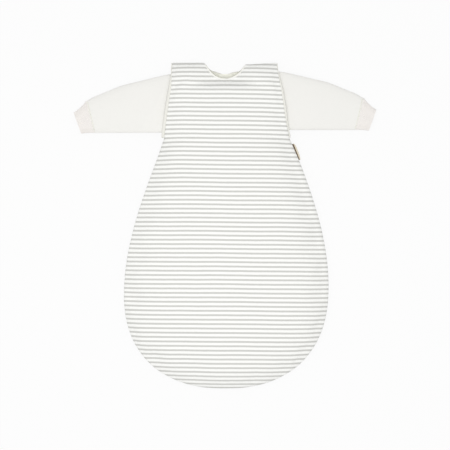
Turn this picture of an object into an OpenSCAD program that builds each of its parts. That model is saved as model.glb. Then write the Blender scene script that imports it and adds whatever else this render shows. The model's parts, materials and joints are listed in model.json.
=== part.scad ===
// Baby sleeping bag in two layers. A padded, pear-shaped outer bag without sleeves closes with
// a zip down the middle of its back. A thin inner bag is worn inside it, and the inner bag's
// long sleeves come out through the outer bag's armholes and end in ribbed cuffs.
//
// Frame, in millimetres: the bag lies on its back. +Y points to the head, +Z up out of the
// front, and +X to the wearer's left. The origin is at the middle of the footprint, on the
// surface that the bag lies on. Heights "up the bag" are measured from its foot end.

/* [Outer bag outline] */
// Length from the foot end to the shoulder seams
bag_len = 640; // [600:5:680]
// Width across the widest part
bag_w = 402; // [372:2:430]
// Distance of the widest part up the bag
belly_up = 194; // [170:2:215]
// Distance of the underarm up the bag
underarm_up = 492; // [470:2:510]
// Width at the underarm
underarm_w = 246; // [238:2:256]
// Width across the shoulder tips
shoulder_w = 206; // [198:2:212]
// Width of the neck opening between the shoulders
neck_w = 82; // [70:2:96]
// Drop of the front neckline below the shoulders
front_neck_drop = 32; // [26:1:38]
// Drop of the back neckline below the shoulders
back_neck_drop = 20; // [18:1:24]

/* [Outer bag depth] */
// Height of the side seam above the surface
seam_up = 15; // [14:0.5:17]
// Thickness of the whole bag at the belly
belly_t = 42; // [38:1:48]
// Thickness of the whole bag at the chest
chest_t = 38; // [36:1:42]
// Rise of the front armhole edge above the side seam
armhole_rise = 16; // [15:0.5:19]
// Length over which the front falls to the shoulder seam
shoulder_fall = 35; // [28:1:45]

/* [Layers] */
// Thickness of the striped outer fabric
shell_t = 1; // [0.8:0.1:1.2]
// Thickness of the wadding
wadding_t = 4; // [3.5:0.1:4.2]
// Thickness of the lining
lining_t = 0.8; // [0.6:0.1:1]
// Thickness of the inner bag's jersey
jersey_t = 1; // [0.8:0.1:1.2]
// Space between layers that lie on each other
layer_gap = 0.2; // [0.15:0.05:0.3]
// Room between the lining and the inner bag
inner_ease = 0.6; // [0.5:0.1:1]
// Width of the bound edges at the neck and the armholes
binding_w = 2; // [1.5:0.1:2.5]

/* [Inner bag] */
// How much shorter the inner bag is at the foot
inner_short = 45; // [30:1:70]
// Drop of the inner bag's front neckline
inner_front_drop = 46; // [40:1:52]
// Drop of the inner bag's back neckline
inner_back_drop = 38; // [34:1:44]
// Length of the placket that opens the inner bag
placket_len = 190; // [150:5:230]
// Width of the placket
placket_w = 20; // [16:1:24]
// Number of press studs on the placket
stud_count = 4; // [3:1:6]
// Diameter of a press stud's cap
stud_d = 9.5; // [8:0.5:11]

/* [Sleeves] */
// Distance from the underarm to the sleeve's lower edge
sleeve_low_gap = 10; // [9:1:14]
// Distance from the sleeve's upper edge to the shoulder seam
sleeve_high_gap = 26; // [24:1:34]
// Reach of the sleeve's lower edge from the middle of the bag, to the cuff seam
sleeve_reach = 254; // [240:2:272]
// Width of the sleeve at the cuff seam
sleeve_end_w = 69; // [64:1:74]
// Height of the sleeve's hollow tube at the armhole
sleeve_h = 16; // [14:0.5:17]
// Height of the sleeve's tube at the cuff seam
sleeve_end_h = 14; // [12.5:0.5:15]
// Length of the ribbed cuff
cuff_len = 30; // [26:1:38]
// Width of the cuff at its open end
cuff_end_w = 47; // [44:1:52]
// Thickness of the doubled rib
cuff_t = 2; // [1.6:0.1:2.4]
// Slant of the cuff seam and of the cuff, in degrees
cuff_slant = 21; // [16:1:26]

/* [Zip] */
// Length of the row of teeth
zip_len = 432; // [380:6:450]
// Width of one tape, without its teeth
tape_w = 12; // [11:0.5:13]
// Thickness of the tape
tape_t = 0.6; // [0.5:0.05:0.7]
// Distance from one tooth to the next on the same tape
tooth_pitch = 3; // [2.6:0.1:3.6]
// Thickness of the teeth
tooth_t = 2.4; // [2.2:0.1:2.6]
// Width of the gap between the fabric edges
zip_gap = 14; // [13:0.5:15]
// Height of the middle of the zip above the surface
zip_up = 5.6; // [5.5:0.05:5.9]
// Length of the slider
slider_len = 12; // [11:0.5:14]
// Thickness of each of the slider's plates
slider_plate = 1; // [0.8:0.1:1.1]
// Length of the pull tab beyond the slider's loop
pull_len = 30; // [24:1:36]
// Width of the pull tab
pull_w = 6.4; // [6:0.2:7.4]

/* [Side tag] */
// Length of the tag along the seam
tag_len = 34; // [24:1:44]
// How far the tag stands out of the seam
tag_w = 8; // [6:0.5:12]
// Thickness of one ply of the tag
tag_ply = 0.5; // [0.4:0.05:0.6]
// Distance of the tag's middle up the bag
tag_up = 464; // [440:1:470]

/* [Hidden] */

$fn = 32;
foot_y = -bag_len / 2;           // the foot end in the frame
foot_power = 2.3;                // superellipse of the round foot
side_slope = -0.4;               // how the flank narrows where it meets the underarm
armhole_power = 1.4;             // how fast the armhole edge falls back to the shoulder
neck_power = 2.3;                // roundness of the necklines
dome_power = 2.8;                // fullness of the front across the bag
back_rim = 0.22;                 // share of the half-width over which the back rounds up
back_fall = 18;                  // length over which the back rises to the shoulder seam
opening_power = 0.6;             // how quickly an armhole opens from its ends
stud_room = 2;                   // how far the inner front sinks to make room for the studs
seam_half = 0.15;                // half of the gap between front and back along the seams
flat_cut = 0.5;                  // bulge that is cut off to make the flat underside
corner_angle = 40;               // where the grid's lower corners lie on the round foot

// Depth of each layer's outer and inner faces below the outside of the bag
shell_in = shell_t;
wadding_out = shell_in + layer_gap;
wadding_in = wadding_out + wadding_t;
lining_out = wadding_in + layer_gap;
lining_in = lining_out + lining_t;
inner_out = lining_in + inner_ease;
inner_in = inner_out + jersey_t;

// Heights of the zip's parts
tape_low = zip_up - tape_t / 2;
tooth_low = zip_up - tooth_t / 2;
slot_clear = 0.3;                // running clearance of the slider round the chain
slider_slot = tooth_t + 2 * slot_clear;
slider_low = zip_up - slider_slot / 2 - slider_plate;
slider_top = zip_up + slider_slot / 2 + slider_plate;
guard_t = 0.6;
guard_low = slider_top + 0.4;
guard_half = 13;                 // half-width of the guard's flat middle
guard_out = guard_half + 14;     // the guard's sewn edge

// The zip along the bag
zip_top = bag_len - back_neck_drop - 10;
zip_bottom = zip_top - zip_len;
stop_len = 3;
bridge_len = 3.4;                // the slider's bridge between its plates
slider_up = zip_top + 1;         // lower end of the bridge, just past the last tooth
slider_head = slider_up + bridge_len + 0.6;
zip_travel = slider_head - slider_len - zip_bottom - 2;
groove_run = 50;                 // the groove for the pull tab starts this far below the teeth
groove_ease = 20;
groove_bank = 8;                 // width over which the back rises to the tape
slit_from = zip_bottom - 12;     // the back's edges part between these two heights
slit_to = zip_bottom - 8;

// Teeth and tape across the bag
bead_in = 2.6;                   // inner side of the bead that the teeth stand on
bead_out = 3.4;
tooth_reach = 0.9;               // how far a tooth passes the middle
tooth_w = tooth_pitch / 2 - 0.3;
tooth_flare = 0.15;              // how much wider a tooth's head is, and its neck narrower
tape_in = bead_out + 0.1;
tape_out = tape_in + tape_w;
chain_half = bead_out + 0.4;     // half-width of the slider's slot
slider_wall = 1.1;
slider_half = chain_half + slider_wall;
slider_flare = 0.6;              // how much wider the slider is at its head
wadding_edge = tape_out + 2;     // the wadding stops short of the tape

// The sleeve
sleeve_up = underarm_up + sleeve_low_gap;
sleeve_top = bag_len - sleeve_high_gap;
sleeve_w = sleeve_top - sleeve_up;
sleeve_mid = (sleeve_up + sleeve_top) / 2;
sleeve_z = (seam_up + armhole_rise) / 2;     // height of the sleeve's middle at the armhole
fold_clear = 1.5;                // from the armhole binding to the fold line
fold_gap = 0.4;                  // on either side of the fold line
head_in = 14.5;                  // how far the sleeve head reaches into the bag
inner_drop = 5;                  // how far the inner shoulder seam lies below the lining's
inner_arm_in = 15;               // how far the inner bag's armhole edge lies inside the outer one

function clamp(t) = max(0, min(1, t));
function smooth(t) = let (c = clamp(t)) c * c * (3 - 2 * c);
function mix(a, b, t) = a + (b - a) * t;
function rim(t) = sqrt(1 - pow(1 - clamp(t), 2));
function ease(i, n) = (1 - cos(180 * i / n)) / 2;

// The points of a polygon whose corners are rounded to radius r.
corner_steps = 5;
function to_unit(v) = v / norm(v);
function rounded(points, r) =
    let (n = len(points))
    [for (i = [0 : n - 1])
        let (p = points[i],
             u = to_unit(points[(i + n - 1) % n] - p),
             v = to_unit(points[(i + 1) % n] - p),
             half = acos(u * v) / 2,
             middle = p + to_unit(u + v) * r / sin(half),
             from = p + u * r / tan(half) - middle,
             to = p + v * r / tan(half) - middle,
             start = atan2(from[1], from[0]),
             turn = atan2(from[0] * to[1] - from[1] * to[0], from * to))
        for (k = [0 : corner_steps])
            let (a = start + turn * k / corner_steps)
            middle + r * [cos(a), sin(a)]];

// ---- Outline of a layer ----
// A layer's outline is [side inset, foot inset, shoulder inset, armhole inset].
function nested(d) = [d, d, d, 0];
function inner(d) = [d, d + inner_short, d + inner_drop, inner_arm_in];

function share_of_armhole(s) = clamp((s - underarm_up) / (bag_len - underarm_up));
function opening(s) = pow(max(0, sin(180 * share_of_armhole(s))), opening_power);

// Half-width of the outer bag: a Hermite curve from the belly to the underarm, then the armhole.
function flank(s) =
    let (run = underarm_up - belly_up, t = (s - belly_up) / run)
    bag_w / 2 * (2 * t * t * t - 3 * t * t + 1) + underarm_w / 2 * (3 * t * t - 2 * t * t * t)
    + run * side_slope * (t * t * t - t * t);
function armhole(s) =
    mix(shoulder_w / 2, underarm_w / 2, pow(1 - share_of_armhole(s), armhole_power));
function half_width(s, lay) =
    s < belly_up
    ? (bag_w / 2 - lay[0])
      * pow(max(0, 1 - pow((belly_up - s) / (belly_up - lay[1]), foot_power)), 1 / foot_power)
    : s < underarm_up
    ? flank(s) - lay[0]
    : armhole(s) - mix(lay[0], lay[3], clamp(opening(s) / 0.24));
function foot_line(x, lay) =
    belly_up - (belly_up - lay[1])
    * pow(max(0, 1 - pow(abs(x) / (bag_w / 2 - lay[0]), foot_power)), 1 / foot_power);
function top_line(x, lay, drop) =
    let (t = abs(x) / (neck_w / 2))
    min(bag_len - lay[2], t < 1 ? bag_len - drop * (1 - pow(t, neck_power)) : bag_len);

// How near a point is to the side seam and foot: 0 in the middle, 1 on the seam.
function nearness(x, s, lay) =
    s < belly_up
    ? pow(pow(abs(x) / (bag_w / 2 - lay[0]), foot_power)
          + pow((belly_up - s) / (belly_up - lay[1]), foot_power), 1 / foot_power)
    : abs(x) / half_width(s, lay);

// ---- Faces of a layer ----
function thickness_at(s) =
    mix(belly_t, chest_t, smooth((s - belly_up) / (underarm_up - belly_up)));
function front_z(x, s, lay) =
    let (d = lay[0],
         edge = (armhole_rise - d) * opening(s),
         full = thickness_at(s) - seam_up - d,
         dome = sqrt(max(0, 1 - pow(min(1, nearness(x, s, lay)), dome_power))))
    seam_up + seam_half + rim((bag_len - lay[2] - s) / shoulder_fall) * mix(edge, full, dome);
function back_depth(x, s, lay) =
    let (flat = rim((1 - nearness(x, s, lay)) / back_rim))
    rim((bag_len - lay[2] - s) / back_fall) * mix(opening(s), 1, flat);
function back_z(x, s, lay) =
    seam_up - seam_half - (seam_up - seam_half - lay[0]) * back_depth(x, s, lay);

// Along the zip the back's layers close in on the tape: 1 beside the teeth, 0 away from them.
function zip_slit(s) = clamp((s - slit_from) / (slit_to - slit_from));
function zip_groove(s) = smooth((s - zip_bottom + groove_run) / groove_ease);
function beside_zip(x, s, from, to) =
    zip_groove(s) * (1 - smooth((abs(x) - from) / (to - from)));
function zip_rise(x, s, rise) = rise * beside_zip(x, s, wadding_edge, wadding_edge + groove_bank);

// ---- Grids ----
// Rows follow the outline from the round foot's corner to the shoulder tip, and columns divide
// the width, closer at the neck's corners and at the seams.
foot_rows = 5;
flank_rows = 5;
arm_rows = 9;
neck_cols = 4;
side_cols = 5;
function row_heights(lay) = concat(
    [for (i = [0 : foot_rows - 1])
        belly_up - (belly_up - lay[1]) * cos(mix(corner_angle, 90, i / foot_rows))],
    [for (i = [0 : flank_rows - 1]) mix(belly_up, underarm_up, i / flank_rows)],
    [for (i = [0 : arm_rows]) mix(underarm_up, bag_len - lay[2], ease(i, arm_rows))]);
function back_rows(lay) =
    let (corner_s = belly_up - (belly_up - lay[1]) * cos(corner_angle),
         start = zip_bottom - groove_run, belly = max(belly_up, slit_to + 6))
    concat([corner_s, (corner_s + start) / 2, start, start + groove_ease, slit_from, slit_to],
        [for (i = [0 : flank_rows - 1]) mix(belly, underarm_up, i / flank_rows)],
        [for (i = [0 : arm_rows]) mix(underarm_up, bag_len - lay[2], ease(i, arm_rows))]);
neck_share = neck_w / shoulder_w;
half_columns = concat(
    [for (i = [0 : neck_cols - 1]) neck_share * sin(90 * i / neck_cols)],
    [for (i = [0 : side_cols]) mix(neck_share, 1, sin(90 * i / side_cols))]);
full_columns = concat(
    [for (i = [len(half_columns) - 1 : -1 : 1]) -half_columns[i]], half_columns);

// Where a share u of the half-width lies on the row that meets the side at height s.
function grid_height(u, s, lay, drop) =
    let (corner_s = belly_up - (belly_up - lay[1]) * cos(corner_angle),
         corner_x = half_width(corner_s, lay),
         top = bag_len - lay[2],
         tip_x = half_width(top, lay),
         low = clamp((belly_up - s) / (belly_up - corner_s)),
         high = clamp((s - underarm_up) / (top - underarm_up)))
    s + low * (foot_line(u * corner_x, lay) - corner_s)
      + high * (top_line(u * tip_x, lay, drop) - top);
function front_grid(lay, drop) =
    [for (s = row_heights(lay)) let (w = half_width(s, lay))
        [for (u = full_columns) let (up = grid_height(u, s, lay, drop))
            [u * w, foot_y + up, front_z(u * w, up, lay)]]];
function inner_columns(w) =
    let (flat = guard_out + 2, last = flat + 12,
         half = concat([0, flat / 2.4, flat / 1.3, flat],
                       [for (t = [0 : 5]) mix(last, w, sin(18 * t))]))
    concat([for (i = [len(half) - 1 : -1 : 1]) -half[i]], half);
function inner_back_grid(lay, rise) =
    [for (s = back_rows(lay)) let (w = half_width(s, lay))
        [for (x = inner_columns(w))
            let (up = grid_height(x / w, s, lay, inner_back_drop))
            [x, foot_y + up,
             back_z(x, up, lay) + rise * beside_zip(x, up, guard_out + 2, guard_out + 14)]]];
function inner_front_sag(x, s) =
    stud_room * (1 - smooth((abs(x) - placket_w / 2) / 30)) * smooth((s - placket_low + 90) / 60);
function inner_front_grid(lay) =
    [for (row = front_grid(lay, inner_front_drop))
        [for (p = row) [p[0], p[1], p[2] - inner_front_sag(p[0], p[1] - foot_y)]]];

// A back half's columns: first fixed distances beside the zip, then shares of the rest.
function zip_columns(first, s) =
    let (edge = mix(seam_half, first, zip_slit(s)))
    [edge, max(edge + 0.5, wadding_edge), wadding_edge + groove_bank / 2, wadding_edge + groove_bank];
neck_corner = (neck_w / 2 - wadding_edge - groove_bank)
            / (shoulder_w / 2 - wadding_edge - groove_bank);
rest_columns = concat([neck_corner / 2],
    [for (i = [0 : side_cols]) mix(neck_corner, 1, sin(90 * i / side_cols))]);
function back_columns(first, s, w) =
    let (near = zip_columns(first, s), last = near[len(near) - 1])
    concat(near, [for (t = rest_columns) mix(last, w, t)]);
function back_grid(lay, first, rise, sink) =
    [for (s = back_rows(lay)) let (w = half_width(s, lay))
        [for (x = back_columns(first, s, w))
            let (up = grid_height(x / w, s, lay, back_neck_drop))
            [x, foot_y + up,
             back_z(x, up, lay) + zip_rise(x, up, rise) - sink * back_depth(x, up, lay)]]];

// ---- Solids from grids ----
// Fills the space between two grids of the same size; rows run to +Y and columns to +X.
module sheet(over, under) {
    rows = len(over);
    cols = len(over[0]);
    points = concat([for (row = over) each row], [for (row = under) each row]);
    function top(i, j) = i * cols + j;
    function low(i, j) = (rows + i) * cols + j;
    polyhedron(points, convexity = 6, faces = concat(
        [for (i = [0 : rows - 2], j = [0 : cols - 2])
            each [[top(i, j), top(i + 1, j), top(i + 1, j + 1)],
                  [top(i, j), top(i + 1, j + 1), top(i, j + 1)],
                  [low(i, j), low(i + 1, j + 1), low(i + 1, j)],
                  [low(i, j), low(i, j + 1), low(i + 1, j + 1)]]],
        [for (i = [0 : rows - 2])
            each [[top(i, 0), low(i, 0), low(i + 1, 0)],
                  [top(i, 0), low(i + 1, 0), top(i + 1, 0)],
                  [top(i, cols - 1), low(i + 1, cols - 1), low(i, cols - 1)],
                  [top(i, cols - 1), top(i + 1, cols - 1), low(i + 1, cols - 1)]]],
        [for (j = [0 : cols - 2])
            each [[top(0, j), top(0, j + 1), low(0, j + 1)],
                  [top(0, j), low(0, j + 1), low(0, j)],
                  [top(rows - 1, j), low(rows - 1, j + 1), top(rows - 1, j + 1)],
                  [top(rows - 1, j), low(rows - 1, j), low(rows - 1, j + 1)]]]));
}

// A wall between an outer and an inner row of rings, open at both ends.
module tube(outer, inner) {
    rings = len(outer);
    sides = len(outer[0]);
    points = concat([for (ring = outer) each ring], [for (ring = inner) each ring]);
    function out(i, j) = i * sides + j % sides;
    function inn(i, j) = (rings + i) * sides + j % sides;
    polyhedron(points, convexity = 6, faces = concat(
        [for (i = [0 : rings - 2], j = [0 : sides - 1])
            each [[out(i, j), out(i, j + 1), out(i + 1, j + 1)],
                  [out(i, j), out(i + 1, j + 1), out(i + 1, j)],
                  [inn(i, j), inn(i + 1, j + 1), inn(i, j + 1)],
                  [inn(i, j), inn(i + 1, j), inn(i + 1, j + 1)]]],
        [for (j = [0 : sides - 1])
            each [[out(0, j), inn(0, j), inn(0, j + 1)],
                  [out(0, j), inn(0, j + 1), out(0, j + 1)],
                  [out(rings - 1, j), inn(rings - 1, j + 1), inn(rings - 1, j)],
                  [out(rings - 1, j), out(rings - 1, j + 1), inn(rings - 1, j + 1)]]]));
}

// ---- Padded panels of the outer bag ----
module front_layer(out, in) {
    sheet(front_grid(nested(out), front_neck_drop), front_grid(nested(in), front_neck_drop));
}

module back_layer(out, in, first, rise_out, rise_in) {
    sheet(back_grid(nested(in), first, rise_in, 0), back_grid(nested(out), first, rise_out, 0));
}

// The underside is cut flat where the bag lies on it.
module back_shell() {
    rise = tape_low - layer_gap - shell_t;
    intersection() {
        sheet(back_grid(nested(shell_in), zip_gap / 2, rise, 0),
              back_grid(nested(0), zip_gap / 2, rise, flat_cut));
        translate([-bag_w, -bag_len, 0]) cube([2 * bag_w, 2 * bag_len, belly_t]);
    }
}
module back_wadding() {
    lining_low = tape_low + tape_t + layer_gap;
    back_layer(wadding_out, wadding_in, wadding_edge,
               tape_low - layer_gap - shell_t, lining_low - layer_gap - wadding_in);
}
module back_lining() {
    lining_low = tape_low + tape_t + layer_gap;
    back_layer(lining_out, lining_in, zip_gap / 2, lining_low - lining_out, lining_low - lining_out);
}

module front_shell() { color("#dadad6") front_layer(0, shell_in); }
module front_wadding() { color("#fbfbf8") front_layer(wadding_out, wadding_in); }
module front_lining() { color("#f2f2e4") front_layer(lining_out, lining_in); }
module left_back_shell() { color("#dadad6") back_shell(); }
module left_back_wadding() { color("#fbfbf8") back_wadding(); }
module left_back_lining() { color("#f2f2e4") back_lining(); }
module right_back_shell() { mirror([1, 0, 0]) left_back_shell(); }
module right_back_wadding() { mirror([1, 0, 0]) left_back_wadding(); }
module right_back_lining() { mirror([1, 0, 0]) left_back_lining(); }

// ---- Bound edges ----
// A strip past the top row of the grid `line`, as deep as the layers that it closes off. cols
// are the columns that it follows; a half lies midway between two of them.
function between(row, k) = mix(row[floor(k)], row[ceil(k)], k - floor(k));
module edge_strip(line, over, under, cols) {
    last = len(line) - 1;
    function edge(grid, lift) = [for (k = cols) let (p = between(line[last], k))
        [p[0], p[1] + lift, between(grid[last], k)[2]]];
    sheet([edge(over, layer_gap), edge(over, binding_w)],
          [edge(under, layer_gap), edge(under, binding_w)]);
}
function middle_columns(grid, reach) =
    let (mid = (len(grid[0]) - 1) / 2)
    concat([mid - reach - 0.5], [for (i = [-reach : reach]) mid + i], [mid + reach + 0.5]);
module front_neck_binding() {
    over = front_grid(nested(0), front_neck_drop);
    color("#f4f3ea") edge_strip(over, over, front_grid(nested(lining_in), front_neck_drop),
                                middle_columns(over, neck_cols - 1));
}
module back_neck_binding() {
    over = back_grid(nested(lining_in), zip_gap / 2, tape_low + tape_t + layer_gap - lining_out, 0);
    under = back_grid(nested(0), zip_gap / 2, tape_low - layer_gap - shell_t, 0);
    color("#f4f3ea") for (side = [0, 1]) mirror([side, 0, 0])
        edge_strip(under, over, under, [0, 1, 2, 3, 4, 4.5]);
}
module inner_neck_binding() {
    front = inner_front_grid(inner(inner_out));
    back = inner_back_grid(inner(inner_out), inner_rise);
    color("#f0efea") {
        edge_strip(front, front, inner_front_grid(inner(inner_in)), middle_columns(front, neck_cols - 1));
        edge_strip(back, inner_back_grid(inner(inner_in), inner_rise), back, middle_columns(back, 3));
    }
}

// A closed band round an armhole; the band's inner face lies inside the armhole's ends.
arm_steps = 12;
module armhole_binding() {
    function ring(d, ends, reach) =
        [for (i = [0 : 2 * arm_steps - 1])
            let (up = cos(180 * i / arm_steps), front = i <= arm_steps,
                 s = (underarm_up + bag_len) / 2 + up * ((bag_len - underarm_up) / 2 - ends),
                 x = armhole(s) + reach)
            [x, foot_y + s, front ? front_z(2 * bag_w, s, nested(d)) + (i % arm_steps ? 0 : d / 9)
                                  : back_z(2 * bag_w, s, nested(d))]];
    color("#e6e4dd")
        tube([ring(0, 0.6, layer_gap), ring(0, 0.6, binding_w)],
             [ring(lining_in, 6.6, layer_gap), ring(lining_in, 6.6, binding_w)]);
}
module left_armhole_binding() { armhole_binding(); }
module right_armhole_binding() { mirror([1, 0, 0]) armhole_binding(); }

// ---- Zip ----
module block(low, high) { translate(low) cube(high - low); }

module zip_tape() {
    color("#efeee6")
        block([tape_in, foot_y + slit_to - 0.5, tape_low],
              [tape_out, foot_y + bag_len - back_neck_drop - 2, tape_low + tape_t]);
}
// A bead with teeth that reach past the middle. Each tooth has a head behind which the heads of
// the other side's teeth catch, and the two sides' flanks run side by side.
module tooth() {
    neck = tooth_w / 2 - tooth_flare;
    head = tooth_w / 2 + tooth_flare;
    slope = 2 * tooth_flare;
    polygon([[bead_in + 0.1, -neck], [bead_in + 0.1, neck], [slope, neck], [-slope, head],
             [0.2 - tooth_reach, head], [-tooth_reach, head - 0.3],
             [-tooth_reach, 0.3 - head], [0.2 - tooth_reach, -head], [-slope, -head],
             [slope, -neck]]);
}
module zip_teeth(shift) {
    color("#f6f5f0") translate([0, foot_y, tooth_low]) linear_extrude(tooth_t) {
        translate([bead_in, zip_bottom]) square([bead_out - bead_in, zip_len]);
        for (y = [zip_bottom + shift : tooth_pitch : zip_top - tooth_w])
            translate([0, y + tooth_w / 2]) tooth();
    }
}
module left_zip_tape() { zip_tape(); }
module right_zip_tape() { mirror([1, 0, 0]) zip_tape(); }
module left_zip_teeth() { zip_teeth(0.2); }
module right_zip_teeth() { mirror([1, 0, 0]) zip_teeth(0.2 + tooth_pitch / 2); }

// Stops are crimped round the tapes' edges.
module stop(from, to, start) {
    difference() {
        block([from, foot_y + start, tooth_low], [to, foot_y + start + stop_len, tooth_low + tooth_t]);
        for (side = [-1, 1])
            translate([side * (tape_in - 0.2) - (side < 0 ? tape_w : 0), foot_y, tape_low - 0.15])
                cube([tape_w, bag_len, tape_t + 0.3]);
    }
}
module zip_top_stops() {
    color("#f6f5f0") {
        stop(bead_in, tape_in + 1.4, slider_head + 0.5);
        mirror([1, 0, 0]) stop(bead_in, tape_in + 1.4, slider_head + 0.5);
    }
}
module zip_bottom_stop() {
    color("#f6f5f0") stop(-tape_in - 1.4, tape_in + 1.4, zip_bottom - stop_len - 0.4);
}

// The guard lies over the inside of the zip and is sewn down along one side.
module zip_guard() {
    foot_in = guard_half + 8;
    foot_z = tape_low + tape_t + layer_gap + lining_t + layer_gap;
    start = zip_bottom - 12;
    color("#f2f2e4") translate([0, foot_y + start, 0]) rotate([90, 0, 0]) mirror([0, 0, 1])
        linear_extrude(bag_len - back_neck_drop - 1 - start) polygon([
            [-guard_half, guard_low], [guard_half, guard_low], [foot_in, foot_z], [guard_out, foot_z],
            [guard_out, foot_z + guard_t], [foot_in, foot_z + guard_t],
            [guard_half, guard_low + guard_t], [-guard_half, guard_low + guard_t]]);
}

// The slider: two plates joined by a wedge that parts the teeth, side walls that leave a slot
// for each tape, and two lugs under the plates that hold the puller's pin.
pin_d = 1;
pin_up = 1.7;
eye_d = 2.2;
eye_w = 3;
lug_t = 0.9;
lug_reach = 1.6;
pin_at = slider_head - 4;
module slider_body() {
    head = slider_half + slider_flare;
    inside = head - slider_wall;
    shoulder = slider_len - bridge_len;
    difference() {
        translate([0, 0, slider_low]) linear_extrude(slider_top - slider_low)
            polygon(rounded([
                [-slider_half, 0], [slider_half, 0], [head, shoulder], [0.62 * head, slider_len],
                [0, slider_len - 0.5], [-0.62 * head, slider_len], [-head, shoulder]], 0.7));
        translate([0, 0, slider_low + slider_plate]) linear_extrude(slider_slot)
            difference() {
                polygon([[-chain_half, -1], [chain_half, -1], [chain_half, 1], [inside, shoulder],
                         [inside, slider_len + 1], [-inside, slider_len + 1],
                         [-inside, shoulder], [-chain_half, 1]]);
                translate([0, slider_len - bridge_len - 0.6]) slider_wedge();
            }
        for (x = [-bag_w, wedge_half + 0.01])
            translate([x, -1, tape_low - slot_clear])
                cube([bag_w - wedge_half - 0.01, slider_len + 2, tape_t + 2 * slot_clear]);
    }
}
wedge_half = 1.2;
module slider_wedge() {
    polygon([[0, 0], [wedge_half, 1.4], [wedge_half, bridge_len - 0.7], [0.6, bridge_len],
             [-0.6, bridge_len], [-wedge_half, bridge_len - 0.7], [-wedge_half, 1.4]]);
}
module slider_lug() {
    rotate([90, 0, 90]) linear_extrude(lug_t, center = true) {
        translate([0, pin_up]) circle(d = pin_d + 0.8);
        polygon([[-lug_reach, slider_low + 0.1], [lug_reach, slider_low + 0.1],
                 [pin_d / 2 + 0.4, pin_up], [-pin_d / 2 - 0.4, pin_up]]);
    }
}
module zip_slider() {
    color("#b9b8b2") {
        translate([0, foot_y + slider_head - slider_len, 0]) slider_body();
        for (side = [-1, 1])
            translate([side * (eye_w / 2 + 0.3 + lug_t / 2), foot_y + pin_at, 0]) slider_lug();
        translate([-eye_w / 2 - 0.5, foot_y + pin_at, pin_up]) rotate([0, 90, 0])
            cylinder(d = pin_d, h = eye_w + 1);
    }
}
// The puller hangs on the pin and lies under the teeth. Its plate widens from the eye to a
// round end with a hole, and both its faces are sunk inside a rim.
plate_t = 1.2;
plate_sink = 0.25;
plate_rim = 1.1;
module puller_plate() {
    end = pull_w / 2 - pull_len;
    difference() {
        linear_extrude(plate_t) {
            polygon([[-eye_w / 2 - 0.4, 0], [-pull_w / 2, -6], [-pull_w / 2, end],
                     [pull_w / 2, end], [pull_w / 2, -6], [eye_w / 2 + 0.4, 0]]);
            translate([0, end]) circle(d = pull_w);
        }
        for (z = [-plate_sink, plate_t - plate_sink])
            translate([0, 0, z]) linear_extrude(2 * plate_sink) polygon(rounded([
                [plate_rim - pull_w / 2, end + 3], [pull_w / 2 - plate_rim, end + 3],
                [pull_w / 2 - plate_rim, -6.5], [plate_rim - pull_w / 2, -6.5]], 0.8));
        translate([0, end - 0.4, -1]) cylinder(d = pull_w / 2.2, h = plate_t + 2);
    }
}
module zip_puller() {
    color("#b9b8b2") difference() {
        union() {
            translate([-eye_w / 2, foot_y + pin_at, pin_up]) rotate([0, 90, 0])
                cylinder(d = eye_d, h = eye_w);
            block([-eye_w / 2, foot_y + pin_at - 5, pin_up - plate_t / 2],
                  [eye_w / 2, foot_y + pin_at - eye_d / 2 + 0.3, pin_up + plate_t / 2]);
            translate([0, foot_y + pin_at - 4.5, pin_up - plate_t / 2]) puller_plate();
        }
        translate([-eye_w, foot_y + pin_at, pin_up]) rotate([0, 90, 0])
            cylinder(d = pin_d + 0.3, h = 2 * eye_w);
    }
}

// ---- Inner bag ----
module inner_front() {
    color("#f4f3ef") sheet(inner_front_grid(inner(inner_out)), inner_front_grid(inner(inner_in)));
}
inner_rise = guard_low + guard_t + 0.3 - inner_out;
module inner_back() {
    color("#f4f3ef") sheet(inner_back_grid(inner(inner_in), inner_rise),
                           inner_back_grid(inner(inner_out), inner_rise));
}

// The placket lies inside the front, and the studs go through both.
placket_top = bag_len - inner_front_drop - 2;
placket_low = placket_top - placket_len;
stud_z = function (s, depth) front_z(0, s, inner(depth)) - stud_room;
module inner_placket() {
    function grid(depth) = [for (i = [0 : 8]) let (s = mix(placket_low, placket_top, i / 8))
        [for (x = [-placket_w / 2, 0, placket_w / 2]) [x, foot_y + s, stud_z(s, depth)]]];
    color("#ecebe5") sheet(grid(inner_in + layer_gap + 0.1), grid(inner_in + layer_gap + 0.1 + jersey_t));
}
module studs() {
    for (i = [0 : stud_count - 1]) {
        s = mix(placket_low + 12, placket_top - 12, stud_count > 1 ? i / (stud_count - 1) : 1);
        translate([0, foot_y + s, stud_z(s, inner_out)]) children();
    }
}
// A cap's brim curves up into a low dome.
module stud_caps() {
    r = stud_d / 2;
    color("#efeee9") studs() translate([0, 0, 0.35]) rotate_extrude()
        polygon([[0, 0], [r - 0.2, 0], [r, 0.2], [r, 0.45], [r - 0.3, 0.7], [r - 1, 0.75],
                 [r - 1.3, 1], [r - 1.9, 1.2], [r - 3, 1.3], [0, 1.3]]);
}
module stud_sockets() {
    color("#efeee9") studs()
        translate([0, 0, -2 * jersey_t - 2 * layer_gap - 0.1 - 1.4]) difference() {
            cylinder(d = stud_d, h = 1.2);
            translate([0, 0, -0.1]) cylinder(d = stud_d - 4.4, h = 0.9);
        }
}

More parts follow.
